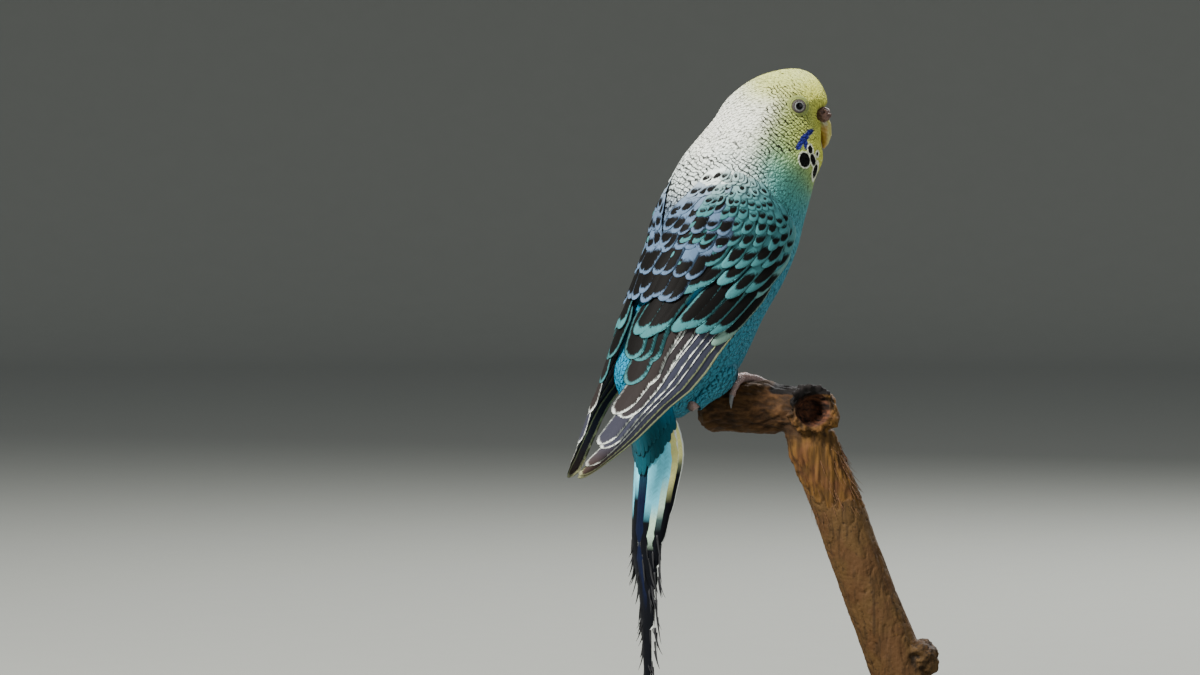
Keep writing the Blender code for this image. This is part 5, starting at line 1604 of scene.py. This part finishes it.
def beak_finish(name, colours):
    """Horn with fine growth lines across its curve, darker at the root and pale along the
    ridge, told apart by the place in the head's own frame."""
    finish = Finish(name)
    centre = tuple((HEAD_ORIGIN + PLACE) * MM)
    offset = finish.add("ShaderNodeVectorMath", {"operation": "SUBTRACT"}, {0: finish.place(), 1: centre})
    local = finish.moved(offset, (1000.0, 1000.0, 1000.0), (0.0, 0.0, -math.radians(HEAD_TURN)))
    forward, _, up = finish.parts(local)
    grain = finish.noise(finish.place(), 700.0, 4.0)
    growth = ((up * 5.0 + forward * 2.2) + grain * 3.0).sine()
    root = (up + grain * 1.2).ramp(-3.6, -1.0)
    ridge = (forward + grain * 0.6).ramp(17.6, 18.6)
    colour = finish.mix(root * 0.8, tuple(colours.beak), tuple(colours.beak_root))
    colour = finish.mix(ridge, colour, tuple(colours.beak_edge))
    finish.set(Base_Color=finish.shade(colour, 0.82 + grain * 0.3 + growth * 0.04), Roughness=0.36)
    finish.surface.inputs["Coat Weight"].default_value = 0.15
    finish.bump(growth * 0.4 + grain, 0.00008)
    return finish


def perch_place(along, around, height):
    """Point over the branch's stub: along its axis, an angle round it from the top towards
    its front side, and a height over its bark."""
    reach = PERCH_RADIUS + height
    return (PERCH_MIDDLE + PERCH_AXIS * np.asarray(along)[..., None]
            + PERCH_ACROSS * (np.sin(around) * reach)[..., None]
            + np.array((0.0, 0.0, 1.0)) * (np.cos(around) * reach)[..., None])


def toe_rings(side, along, turn, length, radius):
    """A toe that wraps round the stub: a tube on the bark whose radius steps at each scute,
    as a saw-tooth along its length, flatter below, with pads that swell between joints."""
    heading = math.radians(FOOT_TURN + side * turn)
    direction = np.array((math.cos(heading), math.sin(heading), 0.0))
    along_rate = float(direction @ PERCH_AXIS)
    around_rate = float(direction @ PERCH_ACROSS) / (PERCH_RADIUS + radius)
    walked = np.linspace(-1.2, length + 0.5, 90)
    part = np.clip(walked / length, 0, 1)
    centre = perch_place(along + along_rate * walked, around_rate * walked, TOE_CLEAR + radius - 0.3 * part)
    top = perch_place(along + along_rate * walked, around_rate * walked, TOE_CLEAR + radius + 1.0)
    up = unit(top - centre)
    tangent = unit(np.gradient(centre, axis=0))
    beside = unit(np.cross(tangent, up))
    up = np.cross(beside, tangent)
    scute = (walked / 0.85) % 1.0
    pads = 1 + 0.07 * np.cos(walked / length * 3 * 2 * math.pi)
    size = radius * (1 - TOE_TAPER * part) * pads
    angle = np.linspace(0, 2 * math.pi, 20, endpoint=False)
    over = np.clip(np.cos(angle), 0, 1) ** 0.5
    step = 1 + 0.20 * (0.5 - scute[:, None]) * over + 0.03 * np.cos(angle * 9) * (1 - over)
    reach = size[:, None] * step
    return (centre[:, None] + up[:, None] * (np.cos(angle) * reach)[..., None]
            + beside[:, None] * (np.sin(angle) * reach)[..., None])


def foot_arrays(side, along, ankle):
    """One foot: the shank down to the stub and four toes, all in scutes."""
    ankle = np.array(ankle)
    base = perch_place(np.array(along), np.array(0.0), TOE_CLEAR + 1.3)
    share = np.linspace(-0.15, 1.0, 60)[:, None]
    path = ankle + (base - ankle) * share
    path = path + np.array((0.0, 0.0, 1.9)) * np.sin(np.clip(share, 0, 1) * math.pi)
    angle = np.linspace(0, 2 * math.pi, 20, endpoint=False)
    ring = np.linspace(0, 9, 60)[:, None] % 1.0
    radii = 1.5 * (1 + 0.10 * (0.5 - ring) * np.clip(np.cos(angle), 0, 1) ** 0.5 + 0.0 * angle)
    parts = [capped_tube(tube_along(path, radii, 20))]
    for turn, length, radius in TOES.values():
        parts.append(capped_tube(toe_rings(side, along, turn, length, radius)))
    ball = np.linspace(0, math.pi, 14)[1:-1, None]
    level = np.stack((np.sin(ball) * np.cos(angle), np.sin(ball) * np.sin(angle), np.cos(ball) + 0 * angle), -1)
    parts.append(capped_tube(base + level * np.array((2.0, 2.0, 1.5))))
    return join_parts(parts)


class BUDGERIGAR_OT_feet(bpy.types.Operator):
    """Make the scaled feet and finish the claws"""

    bl_idname = "budgerigar.feet"
    bl_label = "Feet"

    def execute(self, context):
        colours = context.scene.budgerigar_bare
        skin = Finish("foot_scales")
        place = skin.place()
        scales = skin.cells(place, 1700.0, "DISTANCE_TO_EDGE")
        fine = skin.noise(place, 2200.0, 3.0)
        _, _, height = skin.parts(place)
        warm = (height * 1000.0).ramp(104.0 + TOE_CLEAR + PERCH_RADIUS + 1.0, 106.0 + PERCH_RADIUS + 3.0)
        tone = skin.mix(warm, tuple(colours.toe), tuple(colours.shank))
        skin.set(Base_Color=skin.shade(tone, 0.62 + scales.ramp(0.0, 0.12) * 0.3 + fine * 0.3), Roughness=0.5)
        skin.bump(scales.ramp(0.0, 0.15) + fine * 0.3, 0.00012)
        for word, (side, along, ankle) in FEET.items():
            mesh = build_mesh("foot_skin_" + word, *foot_arrays(side, along, ankle))
            add_piece("foot_skin_" + word, mesh, skin, "foot_scales", "foot_" + word)
        claw = Finish("claw_horn")
        grain = claw.noise(claw.moved(claw.place(), (1.0, 1.0, 0.3)), 1800.0, 3.0)
        claw.set(Base_Color=claw.mix(grain, tuple(colours.claw), tuple(colours.claw_tip)), Roughness=0.3)
        claw.bump(grain, 0.00006)
        for word in FEET:
            for toe in TOES:
                dress_node("claw_" + word + "_" + toe, claw)
        return {"FINISHED"}


def value_noise(points, scale, seed):
    """Smooth noise at points: random values on a whole-number lattice, blended with the
    cubic 3t^2 - 2t^3 along each axis."""
    size = 24
    lattice = np.random.default_rng(seed).random((size, size, size))
    place = points * scale
    cell = np.floor(place).astype(int)
    t = place - cell
    t = t * t * (3 - 2 * t)
    total = np.zeros(points.shape[:-1])
    for corner in np.ndindex(2, 2, 2):
        index = (cell + np.array(corner)) % size
        weight = np.prod(np.where(np.array(corner) == 1, t, 1 - t), axis=-1)
        total += weight * lattice[index[..., 0], index[..., 1], index[..., 2]]
    return total


def branch_relief(points):
    """Height of the branch's relief at points, in millimetres: long fibres on the bare wood,
    cracked plates of bark under its ragged edge, and burnt lumps round the rim."""
    stub = np.clip((points[..., 2] - 92.0) / 6.0, 0, 1)
    along = points @ PERCH_AXIS
    twisted = np.stack((along * 0.35, points @ PERCH_ACROSS + along * 0.25, points[..., 2]), -1)
    upright = points * np.array((1.0, 1.0, 0.10))
    fibre_stub = value_noise(twisted, 1.1, 3) + 0.5 * value_noise(twisted, 2.6, 4)
    fibre_stem = value_noise(upright, 1.2, 5) + 0.5 * value_noise(upright, 2.7, 6)
    fibres = (fibre_stub * stub + fibre_stem * (1 - stub) - 0.75) * 0.75
    ragged = BARK_HEIGHT + 5.0 * (value_noise(points * np.array((1.0, 1.0, 0.3)), 0.45, 7) - 0.5) \
        + 2.0 * (value_noise(points, 1.3, 8) - 0.5)
    bark = smooth_step(ragged - points[..., 2], 0.0, 0.5)
    plates = value_noise(points * np.array((1.0, 1.0, 0.25)), 0.55, 9)
    cracks = -0.9 * np.exp(-((plates - 0.5) / 0.035) ** 2)
    rough = (value_noise(points * np.array((1.0, 1.0, 0.5)), 0.5, 10) + 0.4 * value_noise(points, 1.3, 11)
             - 0.7) * 0.35
    lumps = (value_noise(points, 0.17, 12) - 0.5) * 2.2 * stub
    offset = points - COLLAR_POINT
    depth = offset @ unit(COLLAR_AXIS)
    ring = np.linalg.norm(offset - depth[:, None] * unit(COLLAR_AXIS), axis=-1)
    rim = np.exp(-((ring - 7.2) / 2.0) ** 2) * smooth_step(depth, 3.0, 6.0)
    knobs = (value_noise(points, 0.42, 13) + 0.5 * value_noise(points, 1.1, 14) - 0.75) * 2.6 * rim
    knot = 1 - smooth_step(np.linalg.norm(points - KNOT_POINT, axis=-1), KNOT_RADIUS - 0.4, KNOT_RADIUS + 1.6)
    gnarls = (value_noise(points, 0.5, 15) + 0.5 * value_noise(points, 1.3, 16) - 0.75) * 1.8 * knot
    relief = (fibres + lumps) * (1 - bark) + (0.2 + 0.35 * cracks + rough) * bark + knobs + gnarls
    return relief, bark, knot


class BUDGERIGAR_OT_branch(bpy.types.Operator):
    """Carve the branch's fibres, bark and hollow and add its frayed fibres"""

    bl_idname = "budgerigar.branch"
    bl_label = "Branch"

    def execute(self, context):
        colours = context.scene.budgerigar_bare
        source = bpy.data.objects.new("branch_parts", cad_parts["perch"].data.copy())
        context.scene.collection.objects.link(source)
        weld = source.modifiers.new("Weld", "WELD")
        weld.merge_threshold = 0.01 * MM
        remesh = source.modifiers.new("Skin", "REMESH")
        remesh.mode = "VOXEL"
        remesh.voxel_size = 0.48 * MM
        smooth = source.modifiers.new("Smooth", "SMOOTH")
        smooth.iterations = 8
        smooth.factor = 0.5
        mesh = bpy.data.meshes.new_from_object(source.evaluated_get(context.evaluated_depsgraph_get()))
        mesh.name = "branch"
        bpy.data.objects.remove(source)
        count = len(mesh.vertices)
        points = np.zeros(count * 3)
        mesh.vertices.foreach_get("co", points)
        points = points.reshape(-1, 3) / MM - PLACE
        normals = np.zeros(count * 3)
        mesh.vertex_normals.foreach_get("vector", normals)
        normals = normals.reshape(-1, 3)
        relief, bark, knot = branch_relief(points)
        end = 1 - smooth_step(points[:, 2], 16.0, 19.0)
        points = points + normals * (relief * (1 - end))[:, None]
        mesh.vertices.foreach_set("co", ((points + PLACE) * MM).ravel())
        mesh.update()
        offset = points - COLLAR_POINT
        axis = unit(COLLAR_AXIS)
        along = offset @ axis
        ring = np.linalg.norm(offset - along[:, None] * axis, axis=-1)
        burnt = np.exp(-((ring - 7.0) / 2.4) ** 2) * smooth_step(along, 3.5, 6.5)
        burnt = burnt * smooth_step(offset[:, 2] - offset @ PERCH_AXIS * 0.6, -3.0, 7.0) * 1.2
        top = smooth_step(offset[:, 2], 4.2, 6.8) * smooth_step(offset @ PERCH_AXIS, -14.0, -8.0)
        burnt = np.maximum(burnt, 0.95 * top)
        hollow = (1 - smooth_step(ring, HOLLOW_RADIUS - 0.4, HOLLOW_RADIUS + 0.6)) * smooth_step(along, -4.0, -2.0)
        stub = smooth_step(points[:, 2], 92.0, 99.0) * (1 - smooth_step(offset @ PERCH_AXIS, -4.0, 4.0))
        masks = np.stack((bark, np.clip(burnt, 0, 1), hollow), -1)
        mesh.attributes.new("wear", "FLOAT_VECTOR", "POINT").data.foreach_set("vector", masks.ravel())
        rgba = np.ones((count, 4))
        rgba[:, 0] = np.clip(relief * 0.6 + 0.5, 0, 1)
        rgba[:, 1] = stub
        rgba[:, 2] = knot
        mesh.attributes.new("relief", "FLOAT_COLOR", "POINT").data.foreach_set("color", rgba.ravel())
        mesh.polygons.foreach_set("use_smooth", np.ones(len(mesh.polygons), bool))
        add_piece("branch", mesh, branch_finish(colours), "branch_wood", "perch")
        fibres = Finish("wood_fibre")
        grain = fibres.noise(fibres.place(), 500.0, 2.0)
        fibres.set(Base_Color=fibres.shade(fibres.mix(grain, tuple(colours.wood), tuple(colours.rot)),
                                           0.8 + grain * 0.3), Roughness=0.8)
        chance = np.random.default_rng(context.scene.budgerigar_coat.seed + 3)
        add_piece("branch_fibres", build_mesh("branch_fibres", *fibre_arrays(chance)), fibres, "branch_wood")
        return {"FINISHED"}


STEM_TOP = np.array((24.2, -24.0, 97.0))
STEM_EDGE = np.array((30.7, -29.0, 76.0))


def fibre_arrays(chance):
    """Frayed fibres: thin curved tubes rooted in the stem near the bark's edge and under the
    hollow, most hanging along the grain with their tips lifting off."""
    parts = []
    share = np.linspace(0, 1, 8)[:, None]
    grain = unit(STEM_EDGE - STEM_TOP)
    first = unit(np.cross(grain, (1.0, 0.0, 0.0)))
    second = np.cross(grain, first)
    for _ in range(120):
        height = chance.uniform(0.25, 1.12)
        angle = chance.uniform(0, 2 * math.pi)
        out = first * math.cos(angle) + second * math.sin(angle)
        start = STEM_TOP + (STEM_EDGE - STEM_TOP) * height + out * 7.5
        length = chance.uniform(2.5, 7.0)
        raised = chance.uniform(0.02, 0.32)
        sway = chance.uniform(-0.15, 0.15)
        beside = np.cross(out, grain)
        path = (start + grain * length * share + out * (raised * length) * share ** 2
                + beside * (sway * length) * share)
        parts.append(capped_tube(tube_along(path, chance.uniform(0.10, 0.22) * (1.15 - share[:, 0]), 6)))
    return join_parts(parts)


def branch_finish(colours):
    """Weathered wood: ochre fibres on the bare stem, red brown on the stub, specked grey brown bark below, burnt
    black at the rim and orange brown in the hollow; the colour is darkened in the relief's low places as painted
    shade."""
    finish = Finish("branch_wood")
    place = finish.place()
    bark, burnt, hollow = finish.parts(finish.attribute("wear", "Vector"))
    relief, stub, knot = finish.parts(finish.attribute("relief"))
    streak = finish.noise(finish.moved(place, (1.0, 1.0, 0.07)), 700.0, 4.0)
    turned = finish.moved(place, (0.9, 0.12, 1.0), (0.0, 0.0, math.radians(27.0)))
    twist = finish.noise(turned, 800.0, 4.0)
    blotch = finish.noise(place, 140.0, 3.0)
    speck = finish.noise(place, 900.0, 3.0)
    bare = finish.mix(streak.ramp(0.38, 0.62), finish.shade(tuple(colours.wood), 0.40), tuple(colours.wood))
    bare = finish.mix(blotch.ramp(0.45, 0.7) * 0.5, bare, tuple(colours.rot))
    red = finish.mix(twist.ramp(0.3, 0.7), finish.shade(tuple(colours.red_wood), 0.35), tuple(colours.red_wood))
    red = finish.mix(blotch.ramp(0.5, 0.75) * 0.6, red, tuple(colours.wood))
    colour = finish.mix(stub, bare, red)
    skin = finish.mix(speck.ramp(0.30, 0.42), finish.shade(tuple(colours.bark), 0.35), tuple(colours.bark))
    skin = finish.mix(blotch.ramp(0.40, 0.62) * 0.8, skin, finish.shade(tuple(colours.red_wood), 0.7))
    skin = finish.mix(speck.ramp(0.66, 0.74) * 0.6, skin, tuple(colours.wood))
    skin = finish.mix(streak.ramp(0.52, 0.66) * 0.65, skin, finish.shade(tuple(colours.bark), 0.30))
    colour = finish.mix(bark, colour, skin)
    colour = finish.mix(knot * (speck + blotch).ramp(0.75, 1.15), colour, finish.shade(tuple(colours.bark), 0.15))
    inner = finish.mix(twist.ramp(0.3, 0.7), tuple(colours.char), tuple(colours.rot))
    colour = finish.mix(hollow, colour, inner)
    colour = finish.mix((burnt + (blotch - 0.5) * 0.8).ramp(0.25, 0.55), colour, tuple(colours.char))
    # Painted shade: the colour is darkened in the low places of the relief and kept light on its raised parts.
    painted_relief_shade = relief.ramp(0.1, 0.6)
    finish.set(Base_Color=finish.shade(colour, 0.45 + painted_relief_shade * 0.65), Roughness=0.78, Specular_IOR_Level=0.2)
    finish.bump(streak * (1 - stub) + twist * stub + speck * bark, 0.0003, 0.8)
    return finish


class BUDGERIGAR_OT_stand(bpy.types.Operator):
    """Finish the display stand's base and rod"""

    bl_idname = "budgerigar.stand"
    bl_label = "Stand"

    def execute(self, context):
        colours = context.scene.budgerigar_bare
        wood = Finish("stand_wood")
        place = wood.moved(wood.place(), (1.0, 0.08, 1.0), (0.0, 0.0, 0.4))
        grain = wood.noise(place, 160.0, 5.0)
        pores = wood.noise(place, 1100.0, 2.0)
        tone = wood.mix(grain.ramp(0.35, 0.65), wood.shade(tuple(colours.stand), 0.6), tuple(colours.stand))
        wood.set(Base_Color=wood.shade(tone, 0.85 + pores * 0.3), Roughness=0.38)
        wood.surface.inputs["Coat Weight"].default_value = 0.3
        wood.bump(grain * 0.6 + pores * 0.4, 0.0001)
        dress_node("stand_base", wood)
        steel = Finish("stand_steel")
        lines = steel.noise(steel.moved(steel.place(), (1.0, 1.0, 30.0)), 120.0, 2.0)
        steel.set(Base_Color=(0.60, 0.60, 0.60, 1.0), Metallic=1.0, Roughness=0.28 + lines * 0.15)
        steel.bump(lines, 0.00003)
        dress_node("stand_rod", steel)
        return {"FINISHED"}


class BudgerigarStage(bpy.types.PropertyGroup):
    """The studio round the model."""

    floor: colour_property("Floor", "Colour of the floor", 132, 134, 128)
    azimuth: bpy.props.FloatProperty(
        name="Azimuth", description="Camera's turn round the model", subtype="ANGLE",
        default=math.radians(-35.0))
    elevation: bpy.props.FloatProperty(
        name="Elevation", description="Camera's rise over the horizon", subtype="ANGLE",
        default=math.radians(2.0))
    distance: bpy.props.FloatProperty(
        name="Distance", description="Camera's distance", subtype="DISTANCE", default=2.2, min=0.1)
    lens: bpy.props.FloatProperty(name="Lens", description="Focal length in millimetres", default=212.9)


# The middle of the photograph, seen from the bird's own place: right and up of it.
VIEW_RIGHT = -0.031
VIEW_UP = 0.113
VIEW_BASE = 0.013


def area_light(name, place, target, energy, size, colour=(1.0, 1.0, 1.0)):
    """A square soft light that faces a point."""
    data = bpy.data.lights.new(name, "AREA")
    data.energy = energy
    data.size = size
    data.color = colour
    light = bpy.data.objects.new(name, data)
    bpy.context.scene.collection.objects.link(light)
    light.location = place
    light.rotation_euler = (Vector(target) - Vector(place)).to_track_quat("-Z", "Y").to_euler()
    return light


class BUDGERIGAR_OT_stage(bpy.types.Operator):
    """Set the floor, the soft lights and the camera"""

    bl_idname = "budgerigar.stage"
    bl_label = "Studio"

    def execute(self, context):
        stage = context.scene.budgerigar_stage
        turn = stage.azimuth
        rise = stage.elevation
        right = Vector((math.cos(turn), math.sin(turn), 0.0))
        back = Vector((math.sin(turn) * math.cos(rise), -math.cos(turn) * math.cos(rise), math.sin(rise)))
        up = back.cross(right)
        bird = Vector((*(PLACE[:2] * MM), VIEW_BASE))
        target = bird + right * VIEW_RIGHT + up * VIEW_UP
        data = bpy.data.cameras.new("camera")
        data.lens = stage.lens
        data.sensor_width = 36.0
        data.clip_start = 0.05
        data.clip_end = 30.0
        camera = bpy.data.objects.new("camera", data)
        context.scene.collection.objects.link(camera)
        axes = Matrix((right, up, back)).transposed()
        camera.matrix_world = Matrix.Translation(target + back * stage.distance) @ axes.to_4x4()
        context.scene.camera = camera
        share = np.linspace(0, 1, 40)
        radius = 0.9 * share[:, None] ** 0.8 * 5.0 + 0.001
        angle = np.linspace(0, 2 * math.pi, 96, endpoint=False)[None]
        rise_out = 3.0 * np.clip(share[:, None] - 0.62, 0, 1) ** 2 / 0.38 ** 2
        rings = np.stack((radius * np.cos(angle), radius * np.sin(angle), rise_out + 0 * angle - 0.0002), -1)
        mesh = bpy.data.meshes.new("floor")
        quads = tube_faces(40, 96)
        mesh.from_pydata(rings.reshape(-1, 3).tolist(), [], quads.tolist() + [list(range(96))])
        mesh.polygons.foreach_set("use_smooth", np.ones(len(mesh.polygons), bool))
        floor = bpy.data.objects.new("floor", mesh)
        context.scene.collection.objects.link(floor)
        finish = Finish("floor_paper")
        paper = finish.noise(finish.place(), 60.0, 3.0)
        finish.set(Base_Color=finish.shade(finish.mix(0.0, tuple(stage.floor), tuple(stage.floor)),
                                           0.97 + paper * 0.05), Roughness=0.9)
        mesh.materials.append(finish.material)
        world = bpy.data.worlds.new("studio")
        world.use_nodes = True
        world.node_tree.nodes["Background"].inputs["Color"].default_value = (0.80, 0.86, 0.92, 1.0)
        world.node_tree.nodes["Background"].inputs["Strength"].default_value = 0.42
        context.scene.world = world
        view = math.radians(-35.0)
        toward = Vector((math.sin(view), -math.cos(view), 0.0))
        beside = Vector((math.cos(view), math.sin(view), 0.0))
        aim = (0.0, 0.0, 0.14)
        area_light("key", toward * 0.62 - beside * 0.72 + Vector((0, 0, 0.98)), aim, 44.0, 0.4, (1.0, 0.97, 0.92))
        area_light("fill", toward * 0.9 + beside * 0.9 + Vector((0, 0, 0.35)), aim, 7.0, 0.9, (0.94, 0.97, 1.0))
        area_light("rim", -toward * 0.9 + beside * 0.4 + Vector((0, 0, 0.9)), aim, 24.0, 0.5)
        return {"FINISHED"}


STEPS = ("skin", "coat", "wings", "tail", "face", "feet", "branch", "stand", "stage")


class BUDGERIGAR_PT_panel(bpy.types.Panel):
    """The model's steps, in the 3D view's sidebar"""

    bl_idname = "BUDGERIGAR_PT_panel"
    bl_label = "Budgerigar"
    bl_space_type = "VIEW_3D"
    bl_region_type = "UI"
    bl_category = "Budgerigar"

    def draw(self, context):
        column = self.layout.column()
        for step in STEPS:
            column.operator("budgerigar." + step)
        for name in GROUPS:
            box = self.layout.box()
            box.label(text=name.replace("_", " ").capitalize())
            group = getattr(context.scene, name)
            for key in group.__annotations__:
                box.prop(group, key)


GROUPS = {
    "budgerigar_plumage": BudgerigarPlumage,
    "budgerigar_coat": BudgerigarCoat,
    "budgerigar_wing": BudgerigarWing,
    "budgerigar_bare": BudgerigarBare,
    "budgerigar_stage": BudgerigarStage,
}
CLASSES = (
    *GROUPS.values(), BUDGERIGAR_OT_skin, BUDGERIGAR_OT_coat, BUDGERIGAR_OT_wings, BUDGERIGAR_OT_tail,
    BUDGERIGAR_OT_face, BUDGERIGAR_OT_feet, BUDGERIGAR_OT_branch, BUDGERIGAR_OT_stand,
    BUDGERIGAR_OT_stage, BUDGERIGAR_PT_panel,
)


def register():
    for made in CLASSES:
        bpy.utils.register_class(made)
    for name, group in GROUPS.items():
        setattr(bpy.types.Scene, name, bpy.props.PointerProperty(type=group))


def unregister():
    for name in GROUPS:
        delattr(bpy.types.Scene, name)
    for made in reversed(CLASSES):
        bpy.utils.unregister_class(made)


def main():
    register()
    for step in STEPS:
        getattr(bpy.ops.budgerigar, step)()
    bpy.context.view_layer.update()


if __name__ == "__main__":
    main()
